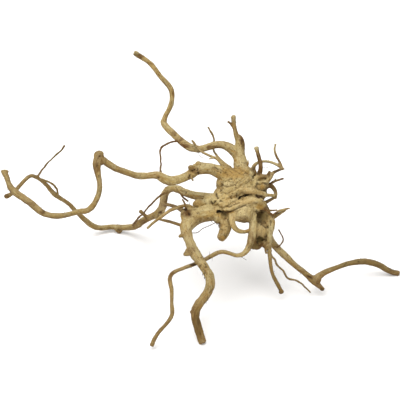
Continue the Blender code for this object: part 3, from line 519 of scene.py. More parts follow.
# Dark furrows on the near side of the burl: depth, half width, then across and down along each
FURROWS = [
    (2.3, 0.7, [(238.4, 198.6), (240.5, 197.4), (243, 196), (246, 195), (248.4, 194.4)]),
    (1.1, 0.8, [(256, 194.8), (258.5, 197.2), (261, 196.2), (263.4, 198.4)]),
    (0.8, 0.8, [(222.5, 184.5), (225, 186.2), (228, 186.8), (231, 186.2), (233.4, 184.6)]),
    (0.7, 0.7, [(222.4, 181.5), (221.6, 184.5), (222.6, 188), (221.6, 191)]),
    (0.9, 0.7, [(226.5, 206.4), (230, 206.6), (232, 206)]),
    (0.9, 0.7, [(233.5, 204.8), (236, 204.4), (239, 202.6)]),
    (0.45, 0.6, [(222, 202), (228, 203), (234, 201.6), (238, 200)]),
    (1.6, 1.1, [(217.4, 211.8), (220, 211.6), (223, 211.9)]),
    (0.9, 0.8, [(223, 212.4), (228, 212.2), (232, 211), (236, 209.2), (241, 206.8), (246, 205.2)]),
    (0.6, 1.0, [(224.4, 213), (226, 216), (224.6, 218.4)]),
    (1.2, 0.65, [(210.8, 201.6), (212.4, 204.2), (214.2, 202.8), (215.4, 200.8)]),
    (1.2, 0.7, [(215.6, 193.4), (216.4, 194.6), (216, 195.8)]), (1.2, 0.7, [(217.2, 196.4), (218, 198)]),
    (1.1, 0.7, [(230.6, 197.6), (231.6, 198.6)]), (1.1, 0.7, [(236.4, 196), (237.6, 196.6)]),
    (0.5, 0.5, [(214, 166.5), (221, 170), (228, 175)]),
    (0.5, 0.5, [(222, 165), (228, 169.5), (234, 174.5)]),
    (0.5, 0.5, [(230, 167), (236, 171), (243, 175.6)]), (0.5, 0.5, [(238, 168), (244, 171.5), (250, 175)]),
    (0.8, 0.8, [(253.8, 202.8), (255, 203.2), (256.2, 203)]),
    (0.9, 0.7, [(257, 221.4), (259.5, 223.8), (263, 225.4), (266, 227.6)]),
    (0.5, 0.5, [(240, 183), (243, 180.4), (246, 178.4)]),
    (0.5, 0.5, [(232, 186.5), (236, 183.8), (240, 180.4), (245, 176.6)]),
    (0.5, 0.5, [(246, 184), (250, 180.6), (254, 178)]),
    (0.5, 0.5, [(228, 193.6), (233, 191), (238, 187.6), (243, 185)]),
    (0.3, 0.5, [(238, 207.6), (236.8, 212), (236, 217)]),
    (0.3, 0.5, [(247.5, 209), (246.4, 213), (247.4, 219)]),
    (0.9, 0.9, [(257, 182.8), (256.4, 186), (257.6, 189.4), (260.6, 190.8)]),
    (0.8, 0.8, [(262.4, 183), (266.4, 184.4), (267.4, 188), (264.4, 190.4)]),
    (0.4, 0.7, [(236.8, 216.6), (241, 218.4), (246, 219)]),
    (0.5, 0.8, [(240, 222), (243.4, 221.6), (247, 222.4)]), (0.7, 0.7, [(185, 210), (186.4, 210.4)]),
    (1.0, 0.9, [(188.6, 213), (189.6, 215)]), (1.5, 0.7, [(191.6, 171), (193.6, 170.2), (195.2, 169.6)]),
    (1.0, 0.5, [(197.8, 167.6), (197.2, 171)]), (1.3, 0.6, [(197.6, 172.6), (199, 174)]),
    (1.1, 0.6, [(189.2, 177), (189.8, 174.8)]), (0.8, 0.7, [(308, 275.4), (310, 277), (312.2, 279.2)]),
    (0.6, 0.6, [(221, 228.6), (222.4, 230)]), (0.6, 0.6, [(226, 226), (227.4, 227)]),
    (0.6, 0.6, [(223.6, 234.6), (225.2, 236)]), (0.6, 0.6, [(228, 221.6), (229.4, 223)]),
    (0.6, 0.6, [(219, 222), (220.4, 223.6)]), (0.5, 0.6, [(220.2, 235), (221, 237)]),
    (0.7, 0.6, [(321, 288), (322.2, 289.2)]),
]

# Raised folds on the near side: height, half width, then across and down along each
RIDGES = [
    (1.7, 1.5, [(222.6, 210.8), (230, 208.9), (237, 205.6), (245, 202.4), (253, 200.8), (261, 201.4)]),
    (2.0, 1.0, [(222, 182.4), (226, 184), (230, 183.8), (233, 182.2)]),
    (2.0, 2.4, [(246, 190.8), (252, 191), (258, 192.6), (264, 194.6)]),
    (0.5, 1.0, [(220, 200), (225, 200.8), (230, 200.4), (236, 198.6)]),
    (0.7, 0.9, [(234, 179), (240, 176.6), (246, 175.6)]),
    (0.8, 0.9, [(259.4, 184), (262.6, 182.2), (266, 183.4), (266.8, 187)]),
    (0.7, 0.8, [(257, 222.6), (261, 225.4), (264.6, 228.4)]),
    (0.9, 0.9, [(256, 236.6), (259, 234.4), (262.6, 235.4), (264.8, 238.6), (264, 241.6), (260, 243.6)]),
    (0.9, 0.8, [(256.6, 212), (259, 209.8), (263, 209), (267, 211), (269.4, 215), (268.6, 219.6)]),
]

# Rust, damp and bleached patches, painted light and painted shadows on the near side, by kind: strength,
# across, down, half sizes
PATCHES = {
    # Bleached wood, and painted light on places in the shadow of roots
    "bleached_and_lit": [
        (0.35, 196, 242, 13, 26), (0.5, 241, 213, 7, 7), (0.35, 200, 148, 30, 6), (0.4, 284, 253, 10, 8),
        (0.9, 256.2, 148, 3, 2.6), (0.8, 270, 163, 12, 4), (0.8, 275, 148.4, 2, 4), (0.5, 266, 180, 3, 6),
        (0.6, 281, 168, 2.4, 2), (0.8, 281, 212.6, 3, 1), (0.5, 252, 228, 4, 14), (0.5, 261, 226, 4, 4),
        (0.6, 205, 166, 10, 3), (0.5, 243, 160, 4, 8), (0.5, 227, 184, 5, 2.4), (0.5, 255, 198.6, 9, 1.6),
        (0.5, 244, 208, 8, 4), (0.5, 229, 209.4, 5, 1), (0.8, 271, 232, 3.6, 16), (0.4, 100, 190, 3, 16),
        (0.5, 257, 182, 3, 4), (0.7, 252, 173, 3, 9), (0.5, 233.6, 119, 3, 4), (0.5, 207, 201, 6, 3),
        (0.45, 204, 193.4, 14, 2), (0.7, 162.6, 202, 2.6, 12)],
    # Painted light on burl, roots and walls that lie in shade
    "painted_light": [
        (0.33, 236, 195, 27, 21), (0.2, 250, 210, 10, 14), (0.4, 228, 222, 8, 10), (0.5, 262, 229, 6, 8),
        (0.5, 267, 218, 3, 6), (1, 163.2, 203, 6, 13), (0.6, 196, 173, 8, 4), (0.5, 195, 202.4, 6, 4)],
    # Dull olive wood, and painted shade in the hollows
    "olive_and_shade": [
        (0.16, 48, 196, 62, 46), (0.12, 222, 254, 18, 6), (0.3, 277, 280, 6, 14), (0.35, 198, 325, 6, 18),
        (0.4, 355, 266, 45, 9), (0.5, 54, 155, 12, 14), (0.6, 259.8, 214.4, 3, 4.6),
        (0.7, 259.6, 239.4, 4, 3.4), (0.6, 254.4, 246.6, 4.4, 3.6)],
    "warm": [
        (0.8, 260, 206.6, 4.4, 3), (0.75, 232.6, 172.6, 16, 7), (0.3, 224, 166, 8, 3),
        (0.8, 262.4, 187, 2.4, 2.2), (0.8, 261, 207, 4.5, 4), (0.8, 223.4, 216, 5, 3.8),
        (0.8, 246, 229.6, 5, 2), (0.7, 222, 239, 4, 3.4), (0.2, 226, 228, 6, 6), (0.55, 198, 203, 6, 4),
        (0.5, 192, 172, 5, 5), (0.2, 260, 230, 6, 7), (0.5, 243, 141, 3, 8), (0.4, 212, 213, 9, 4),
        (0.9, 228.6, 211.8, 6.6, 1.6), (0.8, 98.2, 168, 2.4, 4), (0.8, 235.4, 160.4, 1.6, 1.4),
        (0.7, 232.8, 151.4, 2.4, 1.2), (0.5, 199, 322, 5, 22)],
    "brown": [
        (0.6, 171, 274, 3, 8), (0.85, 224.6, 215.4, 3, 3.6), (0.35, 260, 247, 6, 4.5),
        (0.9, 221, 212, 5, 1.8), (0.55, 251, 241, 4, 9), (0.5, 193, 170.6, 2.4, 1.8),
        (0.7, 259, 196.6, 4, 2.4), (0.3, 243, 218.6, 8, 3), (0.35, 185.6, 209.6, 3, 1.8),
        (0.7, 189.6, 214, 1.8, 2), (0.6, 175, 205.6, 10, 2), (0.5, 204, 218.5, 12, 3),
        (0.45, 192, 250, 5, 4), (0.2, 205, 268, 5, 4), (0.55, 193, 264.6, 3.6, 2.4),
        (0.35, 197, 326, 6, 22), (0.35, 163, 325, 12, 22), (0.75, 43, 212, 3, 2.4),
        (0.4, 32, 203.6, 7, 1.8), (0.3, 62, 217.6, 34, 1.8), (0.6, 98.6, 170, 2.4, 3),
        (0.5, 158.6, 177, 2, 1.6), (0.7, 166.8, 198.6, 1.5, 4), (0.75, 160.4, 212.4, 2.4, 2),
        (0.5, 140, 221, 7, 2.4), (0.5, 5, 197, 4, 3), (0.85, 184, 146, 8, 3), (0.5, 174, 134, 3, 3),
        (0.75, 214, 147.4, 10, 2), (0.6, 173, 93, 1.6, 5), (0.5, 147, 63.5, 6, 1.6),
        (0.75, 140.4, 56.4, 3.6, 2.6), (0.25, 237, 134, 1.6, 8), (0.6, 241.2, 140, 2, 5),
        (0.5, 182, 138, 2, 3), (0.6, 310, 277, 4, 2), (0.4, 271, 285, 4, 8), (0.5, 357, 263.6, 4, 1.6),
        (0.4, 300, 271, 10, 2), (0.5, 378, 266, 5, 1.4), (0.6, 95.4, 171, 2.4, 13)],
    # Dark spots, ends and rust, and painted shadows at the edges of hollows and in holes
    "dark": [
        (0.45, 137, 54.4, 3.4, 2), (0.7, 256.4, 211.6, 1, 2.4), (0.7, 259, 211, 2.6, 0.7),
        (0.6, 257.2, 242, 1, 1.6), (0.55, 253.4, 168.6, 1.6, 2.4), (0.6, 258.4, 173.4, 2.2, 2.6),
        (0.5, 276.6, 170.8, 4, 2), (0.5, 269, 174, 1.4, 3), (0.35, 258.6, 157, 2, 6),
        (0.6, 277, 213, 3, 0.8), (0.5, 266, 183.6, 2.6, 1.6), (0.35, 166.8, 198.4, 1, 3),
        (0.55, 160.4, 212.2, 1.5, 1.3), (0.5, 158.6, 177.4, 1, 0.8), (0.5, 97.4, 166, 1.2, 3.4),
        (0.45, 98.8, 176, 0.8, 1.6), (0.5, 43.6, 212, 1.6, 1), (0.45, 101, 229, 2, 1),
        (0.4, 118.6, 230, 3, 1), (0.45, 109, 228.6, 3, 0.8), (0.5, 309.6, 277, 2.4, 0.9),
        (0.4, 238, 166.4, 2, 1), (0.4, 251, 176, 2, 0.8), (0.5, 263, 190.4, 2.6, 0.8),
        (0.4, 221, 229.4, 1, 0.8), (0.4, 226.4, 226.4, 1.2, 0.8), (0.4, 224.4, 235.4, 0.9, 1.2),
        (0.4, 206.6, 303, 0.8, 2), (0.7, 193, 264.8, 3.2, 1.6), (0.5, 210.3, 258.4, 2, 1),
        (0.5, 172.2, 286.6, 0.8, 0.8), (0.6, 256.6, 218.6, 0.9, 3), (0.5, 262, 211.4, 4, 1),
        (0.55, 196, 173.2, 1.3, 1), (0.6, 192.6, 170.4, 1.6, 1), (0.85, 185.6, 209.6, 1.3, 1.2),
        (0.6, 189.2, 213.6, 1, 1), (0.5, 197.6, 170, 0.8, 1), (0.3, 228, 211.8, 4, 1),
        (0.45, 224.6, 214.4, 2, 1.8), (0.4, 227, 211.9, 5, 1), (0.4, 242.8, 143, 1.6, 6),
        (0.35, 241.4, 139.6, 1, 2), (0.25, 235.6, 160.6, 0.9, 0.9), (0.5, 322.4, 290, 2.2, 1.8),
        (0.3, 197.6, 322, 1.4, 10), (0.3, 281.4, 292.8, 3, 1.6)],
}

# Root hairs: radius, then across, down, behind
HAIRS = [
    (0.42, [(190.5, 232.8, -12), (196, 232.9, -8), (199, 231.6, -6), (202, 229, -5), (206, 227, -5),
            (210, 225.4, -4), (214, 223.4, -3), (218, 221, -2)]),
    (0.2, [(239, 254.6, -14), (241, 256, -15), (243, 258, -16), (246.4, 260, -16)]),
    (0.16, [(261, 167.4, -2), (264, 167.6, -4), (268, 167.4, -4), (271.4, 165.8, -3)]),
    (0.2, [(200, 220, -12), (201.4, 222.4, -14), (202.4, 221.4, -15)]),
    (0.2, [(197, 150, 30), (199.4, 155.6, 27), (203, 158, 24)]),
    (0.4, [(202.8, 264.6, -22), (200.8, 266.4, -23), (199.8, 268.6, -24)]),
    (0.35, [(204.8, 270.4, -22), (203, 272.6, -23), (202.6, 275.2, -23)]),
    (0.35, [(206.4, 274.6, -22), (204.6, 276.6, -23), (204.4, 279, -23)]),
    (0.22, [(213.6, 219, -8), (215.4, 221.8, -9), (216.8, 224.6, -9)]),
    (0.3, [(209.6, 219, -9), (211.4, 221.4, -10), (212.8, 222.6, -10)]),
    (0.4, [(217.4, 223.4, -7), (218.8, 226, -8), (219, 228.2, -8)]),
    (0.3, [(196.6, 256, -22), (194.6, 258.2, -23), (194.2, 260, -23)]),
]

rng = np.random.default_rng(seed=11)


def place(rows):
    """Standing place, in millimetres, of rows that begin with across, down and behind."""
    rows = np.asarray(rows, float)
    widen = 1.0 + rows[:, 2:3] / VIEW_DISTANCE
    in_plane = (rows[:, :1] - SHEET_MIDDLE) * ACROSS + (SHEET_MIDDLE - rows[:, 1:2]) * UP
    return SHEET_PLACE + in_plane * widen + rows[:, 2:3] * AWAY


def seen_at(points):
    """Across, down and behind of standing points: the reverse of place()."""
    offset = points - SHEET_PLACE
    behind = offset @ AWAY
    widen = 1.0 + behind / VIEW_DISTANCE
    across = SHEET_MIDDLE + (offset @ ACROSS) / widen
    down = SHEET_MIDDLE - (offset @ UP) / widen
    return np.stack([across, down, behind], axis=1)


def ease(low, high, values):
    """Smooth step: 0 below low, 1 above high, and 3t^2 - 2t^3 between them."""
    t = np.clip((values - low) / (high - low), 0.0, 1.0)
    return t * t * (3.0 - 2.0 * t)


def corner_value(cells, seed):
    """Fixed pseudo-random number from -1 to 1 for each whole-number grid corner."""
    first, second, third = (cells * CORNER_FACTORS).T
    mixed = first ^ second ^ third ^ (seed * SEED_FACTOR)
    for shift, factor in SCRAMBLE:
        mixed = (mixed ^ (mixed >> shift)) * factor & LARGEST_WHOLE
    return (mixed & LAST_BITS) / (LAST_BITS / 2.0) - 1.0


def noise(points, seed):
    """Smooth random field from -1 to 1: corner values blended by 6t^5 - 15t^4 + 10t^3 along each axis."""
    low = np.floor(points)
    t = points - low
    t = t * t * t * (t * (t * 6.0 - 15.0) + 10.0)
    low = low.astype(np.int64)
    total = np.zeros(len(points))
    for i in (0, 1):
        for j in (0, 1):
            for k in (0, 1):
                corner = np.array([i, j, k])
                share = np.abs(1 - corner - t).prod(axis=1)
                total += share * corner_value(low + corner, seed)
    return total


def layered(points, seed, layers):
    """Sum of noise at doubled scales, each layer half as strong."""
    total = np.zeros(len(points))
    for i in range(layers):
        total += noise(points * 2.0 ** i, seed + i) * 0.5 ** i
    return total


def blend_rows(first, second, start, end, t):
    """Straight mix of two rows as t goes from start to end."""
    return ((end - t) * first + (t - start) * second) / (end - start)


def smooth_route(route, step):
    """Curve through all points of a route, resampled at about the step.

    Each stretch mixes its four nearest rows in straight steps, three times over, with knots spaced
    by the square root of the gaps between the points.
    """
    rows = np.array(route, float)
    gaps = np.sqrt(np.linalg.norm(np.diff(rows[:, CENTRE], axis=0), axis=1))
    knots = np.concatenate([[0.0], np.cumsum(gaps)])
    rows = np.vstack([2 * rows[0] - rows[1], rows, 2 * rows[-1] - rows[-2]])
    knots = np.concatenate([[-gaps[0]], knots, [knots[-1] + gaps[-1]]])
    spans = []
    for i in range(1, len(rows) - 2):
        length = np.linalg.norm(rows[i + 1, CENTRE] - rows[i, CENTRE])
        count = max(2, int(length / step) + 1)
        t = np.linspace(knots[i], knots[i + 1], count, endpoint=False)[:, None]
        level = list(rows[i - 1:i + 3])
        for reach in (1, 2):
            level = [blend_rows(level[j], level[j + 1], knots[i - 1 + j], knots[i - 1 + j + reach], t)
                     for j in range(len(level) - 1)]
        spans.append(blend_rows(level[0], level[1], knots[i], knots[i + 1], t))
    return np.vstack(spans + [rows[-2]])


def directions(points):
    """Unit direction of a line at each of its points."""
    along = np.gradient(points, axis=0)
    return along / np.linalg.norm(along, axis=1)[:, None]


def sweep(centres, radii, sides, twist):
    """Round tube along the centres, with low lobes that wind slowly, and domed ends.

    point = centre + width * lobes * (side * cos(angle) + other * sin(angle)), where lobes is
    1 + TWO_LOBES * sin(2 turn) + THREE_LOBES * sin(3 turn + LOBE_SHIFT * twist), and turn is the
    angle plus LOBE_TURN times the run along the tube plus the twist.
    """
    along = directions(centres)
    first = centres[0] - along[0] * (DOME_REACH * radii[0])[:, None]
    last = (centres[-1] + along[-1] * (DOME_REACH * radii[-1])[:, None])[::-1]
    spine = np.vstack([first, centres, last])
    widths = np.concatenate([DOME_WIDTH * radii[0], radii, (DOME_WIDTH * radii[-1])[::-1]])
    along = np.vstack([np.repeat(along[:1], len(first), 0), along, np.repeat(along[-1:], len(last), 0)])
    start = np.array(STEEP_SIDE if abs(along[0][2]) >= STEEP else LEVEL_SIDE)
    side = np.empty_like(spine)
    for i, direction in enumerate(along):
        start = start - direction * (start @ direction)
        start /= np.linalg.norm(start)
        side[i] = start
    other = np.cross(along, side)
    angle = np.linspace(0.0, 2.0 * math.pi, sides, endpoint=False)
    run = np.concatenate([[0.0], np.cumsum(np.linalg.norm(np.diff(spine, axis=0), axis=1))])
    turn = angle[None, :] + run[:, None] * LOBE_TURN + twist
    lobes = 1.0 + TWO_LOBES * np.sin(2.0 * turn) + THREE_LOBES * np.sin(3.0 * turn + LOBE_SHIFT * twist)
    out = side[:, None] * np.cos(angle)[None, :, None] + other[:, None] * np.sin(angle)[None, :, None]
    points = spine[:, None] + out * (widths[:, None] * lobes)[:, :, None]
    rings = len(spine)
    first_row = np.arange(rings - 1)[:, None] * sides
    k = np.arange(sides)[None, :]
    n = (k + 1) % sides
    faces = np.stack([first_row + k, first_row + n, first_row + sides + n, first_row + sides + k], axis=2)
    faces = faces.reshape(-1, 4).tolist()
    faces.append(list(range(sides))[::-1])
    faces.append(list(range((rings - 1) * sides, rings * sides)))
    return points.reshape(-1, 3), faces


def ball(lump, roughness, seed):
    """Ball squeezed to its half sizes along the sheet's directions, its skin waved by noise.

    point = middle + (1 + roughness * waves) * (unit point times the half sizes)
    """
    tilt = np.linspace(0.0, math.pi, BALL_ROWS + 2)[1:-1]
    turn = np.linspace(0.0, 2.0 * math.pi, BALL_COLUMNS, endpoint=False)
    unit = np.stack([np.outer(np.sin(tilt), np.cos(turn)), np.outer(np.sin(tilt), np.sin(turn)),
                     np.outer(np.cos(tilt), np.ones(BALL_COLUMNS))], axis=2).reshape(-1, 3)
    unit = np.vstack([unit, [[0, 0, 1], [0, 0, -1]]])
    middle = place([lump[:3]])[0]
    points = unit @ np.array([ACROSS * lump[3], UP * lump[4], AWAY * lump[5]])
    waves = layered(unit * BALL_WAVES + seed * BALL_SHIFT, seed, layers=2)
    points = middle + points * (1.0 + roughness * waves)[:, None]
    faces = []
    top = BALL_ROWS * BALL_COLUMNS
    last_row = top - BALL_COLUMNS
    for k in range(BALL_COLUMNS):
        n = (k + 1) % BALL_COLUMNS
        faces.append((top, n, k))
        faces.append((top + 1, last_row + k, last_row + n))
        for row in range(0, last_row, BALL_COLUMNS):
            faces.append((row + k, row + n, row + BALL_COLUMNS + n, row + BALL_COLUMNS + k))
    return points, faces


def gather(shapes):
    """One list of points and faces from several."""
    points = []
    faces = []
    count = 0
    for some, their_faces in shapes:
        points.append(some)
        faces.extend([tuple(count + i for i in face) for face in their_faces])
        count += len(some)
    return np.vstack(points), faces


def mesh_object(name, points, faces):
    """Object with a mesh of the points, which are in millimetres, and the faces."""
    mesh = bpy.data.meshes.new(name)
    mesh.from_pydata((points * MM).tolist(), [], faces)
    item = bpy.data.objects.new(name, mesh)
    bpy.context.scene.collection.objects.link(item)
    return item


def melt(item, passes):
    """Add modifiers that melt overlapping skins into one and even it out."""
    skin = item.modifiers.new("melt", "REMESH")
    skin.mode = "VOXEL"
    skin.voxel_size = SKIN_STEP * MM
    even = item.modifiers.new("even", "SMOOTH")
    even.factor = 0.5
    even.iterations = passes


def apply_all(item):
    """Replace the mesh by the result of its modifiers."""
    graph = bpy.context.evaluated_depsgraph_get()
    result = bpy.data.meshes.new_from_object(item.evaluated_get(graph))
    old = item.data
    item.modifiers.clear()
    item.data = result
    bpy.data.meshes.remove(old)


def read_points(mesh, field):
    """Places or normals of all mesh points."""
    values = np.empty(len(mesh.vertices) * 3)
    mesh.vertices.foreach_get(field, values)
    return values.reshape(-1, 3)


def knobbly(rows, seed):
    """Wiry twig: its line moves by WANDER * noise, its radius grows by 1 + TWIG_SWELL * noise."""
    run = np.arange(len(rows)) * ROUTE_STEP
    shift = np.full(len(rows), seed * TWIG_SHIFT)
    wander = np.stack([run / BEND_LENGTH, shift, np.zeros(len(rows))], axis=1)
    free = ease(0.0, FREE_OF_BASE, run) * ease(0.0, FREE_OF_TIP, run[::-1])
    rows = rows.copy()
    for axis in range(3):
        rows[:, axis] += WANDER * free * noise(wander + AXIS_SHIFT * axis, seed=201)
    rows[:, RADIUS] *= 1.0 + TWIG_SWELL * noise(wander * SWELL_PACE, seed=211)
    return rows


def split_routes():
    """All routes smoothed: the stout ones to be melted, and the thin twigs with sunken bases."""
    stout = []
    thin = []
    spines = []
    for name, route in list(ROOTS.items()) + list(TWIGS.items()):
        rows = smooth_route(route, ROUTE_STEP)
        spines.append((name, rows))
        small = np.nonzero(rows[:, RADIUS] < THIN)[0]
        small = small[small > 1]
        cut = int(small[0]) if name in TWIGS and len(small) else len(rows)
        if cut > FEWEST_ROWS:
            part = rows[:cut + 1].copy()
            part[:, RADIUS] += BARK
            if cut < len(rows):
                part[-len(TIP_TAPER):, RADIUS] *= TIP_TAPER
            stout.append(part)
        if cut < len(rows):
            part = rows[max(cut - SHARED_ROWS, 0):].copy()
            part[:, RADIUS] += BARK
            part = knobbly(part, seed=len(thin))
            if cut > FEWEST_ROWS:
                part[:len(BASE_TAPER), RADIUS] *= BASE_TAPER
            thin.append(part)
    return stout, thin, spines


def tubes(parts, sides):
    """Swept tubes of several route parts."""
    shapes = []
    for i, rows in enumerate(parts):
        widen = 1.0 + rows[:, 2] / VIEW_DISTANCE
        shapes.append(sweep(place(rows), rows[:, RADIUS] * widen, sides, TUBE_TWIST * i))
    return shapes


def spine_table(spines):
    """Place, radius, brownness and direction at the points of every root and grain guide."""
    guides = [("guide", smooth_route(route, 2.0 * ROUTE_STEP)) for route in GRAIN_GUIDES]
    table = []
    for name, rows in [(name, rows[::2]) for name, rows in spines] + guides:
        steps = BROWN.get(name, (0.0,))
        brown = np.interp(np.linspace(0.0, 1.0, len(rows)), np.linspace(0.0, 1.0, len(steps)), steps)
        points = place(rows)
        table.append(np.hstack([points, rows[:, RADIUS:RADIUS + 1], brown[:, None], directions(points)]))
    return np.vstack(table)


def follow_roots(points, table):
    """Centre, radius, brownness and direction of the roots around each point, near ones counting more.

    Each root point's weight is exp(-(gap - least gap) / spread), where the gap is the squared
    distance less the squared radius.
    """
    result = np.empty((len(points), table.shape[1]))
    centres = table[:, CENTRE].astype(np.float32)
    reach = (table[:, CENTRE] ** 2).sum(axis=1) - table[:, RADIUS] ** 2
    for start in range(0, len(points), CHUNK):
        part = points[start:start + CHUNK]
        gap = reach[None, :].astype(np.float32) - 2.0 * part.astype(np.float32) @ centres.T
        gap -= gap.min(axis=1, keepdims=True)
        weight = np.exp(gap * (-1.0 / BLEND_SPREAD))
        weight /= weight.sum(axis=1, keepdims=True)
        result[start:start + CHUNK] = weight @ table.astype(np.float32)
    return result


def sheet_cell(sheet):
    """Square millimetre of the sheet that each point falls in: down, then across."""
    cell = np.clip(sheet[:, :2].astype(int), 0, int(SHEET_SIZE) - 1)
    return cell[:, 1], cell[:, 0]


def nearest_map(sheet):
    """Least depth behind the sheet at each square millimetre of it."""
    nearest = np.full((int(SHEET_SIZE), int(SHEET_SIZE)), FAR)
    np.minimum.at(nearest, sheet_cell(sheet), sheet[:, 2])
    return nearest


def near_side(sheet, nearest):
    """1 where a point is the first thing seen at its place of the sheet, 0 where it is behind."""
    return 1.0 - ease(*NEAR_EDGE, sheet[:, 2] - nearest[sheet_cell(sheet)])


def line_mark(flat, line, half):
    """1 on a bent line on the sheet, fading beside it as exp(-(gap / half)^2)."""
    best = np.full(len(flat), FAR)
    for a, b in zip(np.array(line[:-1], float), np.array(line[1:], float)):
        t = np.clip((flat - a) @ (b - a) / ((b - a) @ (b - a)), 0.0, 1.0)
        best = np.minimum(best, np.linalg.norm(flat - a - t[:, None] * (b - a), axis=1))
    return np.exp(-(best / half) ** 2)


def natural_relief(points, grain, size, burl, near):
    """Height of the grain, knobs and swells, less cracks and pits, and how dark those make it.

    Each is a height times its noise. size is how much of the relief the root's radius carries.
    burl and near are 1 on the burl and on the side that is seen first.
    """
    flutes = layered(grain * FLUTE_RATE, seed=3, layers=2)
    fibres = layered(grain * FIBRE_RATE, seed=7, layers=2)
    knobs = layered(points / KNOB_LENGTH, seed=21, layers=2)
    height = size * (FLUTE_HEIGHT * flutes + KNOB_HEIGHT * knobs)
    height += FIBRE_HEIGHT * fibres * np.minimum(size, 1.0)
    rear = burl * (1.0 - near)
    swells = LONG_SWELL_HEIGHT * layered(grain * SWELL_RATE, seed=31, layers=2)
    swells += ROUND_SWELL_HEIGHT * layered(points / SWELL_LENGTH, seed=41, layers=3)
    height += (BURL_SWELL * burl + REAR_SWELL * rear) * swells + BURL_FIBRE_HEIGHT * burl * fibres

    split = 1.0 - np.abs(noise(grain * SPLIT_RATE, seed=51))
    cracked = ease(*CRACKED, noise(points / CRACK_PATCH, seed=61) + BURL_CRACKED * burl)
    weaker = 1.0 - BURL_CRACK_LOSS * burl * near
    crack = ease(*CRACK_EDGE, split) * cracked * np.minimum(size, 1.0) * weaker
    pitted = ease(*PITTED, noise(points / PIT_PATCH, seed=81) + BURL_PITTED * burl)
    pit = ease(*PIT_EDGE, noise(points / PIT_LENGTH, seed=71)) * pitted
    height -= CRACK_DEPTH * crack + PIT_DEPTH * pit * size
    return height, CRACK_SHADE * crack + PIT_SHADE * pit


def weather(points, normals, table, nearest, relief):
    """Carve grain, cracks, pits and furrows, and give each point its colour marks.

    Each point moves along its normal by relief * height. Grain space squeezes lengths along a root:
    grain = ACROSS_RATE * place - (ACROSS_RATE - ALONG_RATE) * centre of the root, so any noise in
    it runs as streaks along the root. A patch's mark fades out at about its half sizes, and marks
    of a kind add up as 1 - (1 - one) * (1 - other).
    """
    around = follow_roots(points, table)
    grain = ACROSS_RATE * points - (ACROSS_RATE - ALONG_RATE) * around[:, CENTRE]
    sheet = seen_at(points)
    near = near_side(sheet, nearest)
    burl = 1.0 - ease(*BURL_EDGE, np.linalg.norm((sheet - BURL_MIDDLE) / BURL_HALF, axis=1))
    size = np.clip(around[:, RADIUS] / FULL_RADIUS, LEAST_SIZE, MOST_SIZE)
    height, dark = natural_relief(points, grain, size, burl, near)

    shifts = [noise(points / JITTER_LENGTH, seed) for seed in (91, 92)]
    flat = sheet[:, :2] + JITTER * np.stack(shifts, axis=1)
    for depth, half, line in FURROWS:
        mark = line_mark(flat, line, half) * near
        height -= depth * mark
        dark = np.maximum(dark, min(1.0, FURROW_SHADE * depth - FURROW_LIGHT) * mark)
    for rise, half, line in RIDGES:
        height += rise * line_mark(flat, line, half) * near

    marks = {kind: np.zeros(len(points)) for kind in PATCHES}
    marks["brown"] = around[:, BROWNNESS]
    marks["dark"] = np.clip(dark, 0.0, 1.0)
    ragged = RAGGED * noise(points / RAGGED_LENGTH, seed=101)
    for kind, rows in PATCHES.items():
        for strength, across, down, half_across, half_down in rows:
            gap = np.hypot((flat[:, 0] - across) / half_across, (flat[:, 1] - down) / half_down)
            mark = strength * (1.0 - ease(*PATCH_EDGE, gap + ragged)) * near
            marks[kind] = 1.0 - (1.0 - marks[kind]) * (1.0 - mark)

    inside = np.zeros(len(points))
    for lump in HOLLOWS:
        gap = np.linalg.norm((sheet - lump[:3]) / np.array(lump[3:]), axis=1)
        inside = np.maximum(inside, 1.0 - ease(*HOLLOW_EDGE, gap))
    marks["hollow"] = inside
    # Painted light: faces turned up are made paler
    marks["top"] = ease(*TOP_LIGHT_SLOPE, normals[:, 2]) * (1.0 - TOP_LIGHT_LOSS * burl)
    # Painted shade: faces turned down are made darker, less so in hollows and on the burl
    marks["painted_under_shade"] = ease(*UNDER_SHADE_SLOPE, -normals[:, 2]) * (1.0 - inside) * (1.0 - UNDER_SHADE_LOSS * burl)
    # Painted shade: low places of the carved relief are made darker
    marks["low"] = ease(*LOW_SHADE_DEPTH, -height + LOW_SHADE_SHIFT) * (LOW_SHADE_SHARE - LOW_SHADE_LOSS * burl)
    moved = points + normals * (height * relief)[:, None]
    moved[:, 2] = np.maximum(moved[:, 2], 0.0)
    return moved, grain, marks


def give_marks(mesh, grain, marks):
    """Write the grain space and the colour marks onto the mesh points."""
    field = mesh.attributes.new("grain", "FLOAT_VECTOR", "POINT")
    field.data.foreach_set("vector", grain.astype(np.float32).ravel())
    for name, values in marks.items():
        field = mesh.attributes.new(name, "FLOAT", "POINT")
        field.data.foreach_set("value", values.astype(np.float32))


def split_skin(points, faces, normals, grain, marks):
    """Cut the skin into pieces from left to right, none with too many faces, shaded as one."""
    middles = points[faces[:, 0], 0]
    count = int(math.ceil(len(faces) * 2 / PIECE_TRIANGLES))
    limits = np.quantile(middles, np.linspace(0.0, 1.0, count + 1)[1:-1])
    group = np.searchsorted(limits, middles)
    pieces = []
    for i in range(count):
        own = faces[group == i]
        used, local = np.unique(own, return_inverse=True)
        item = mesh_object("wood_" + "abcdef"[i], points[used], local.reshape(own.shape).tolist())
        give_marks(item.data, grain[used], {name: values[used] for name, values in marks.items()})
        item.data.shade_smooth()
        item.data.normals_split_custom_set_from_vertices(normals[used].tolist())
        pieces.append(item)
    return pieces


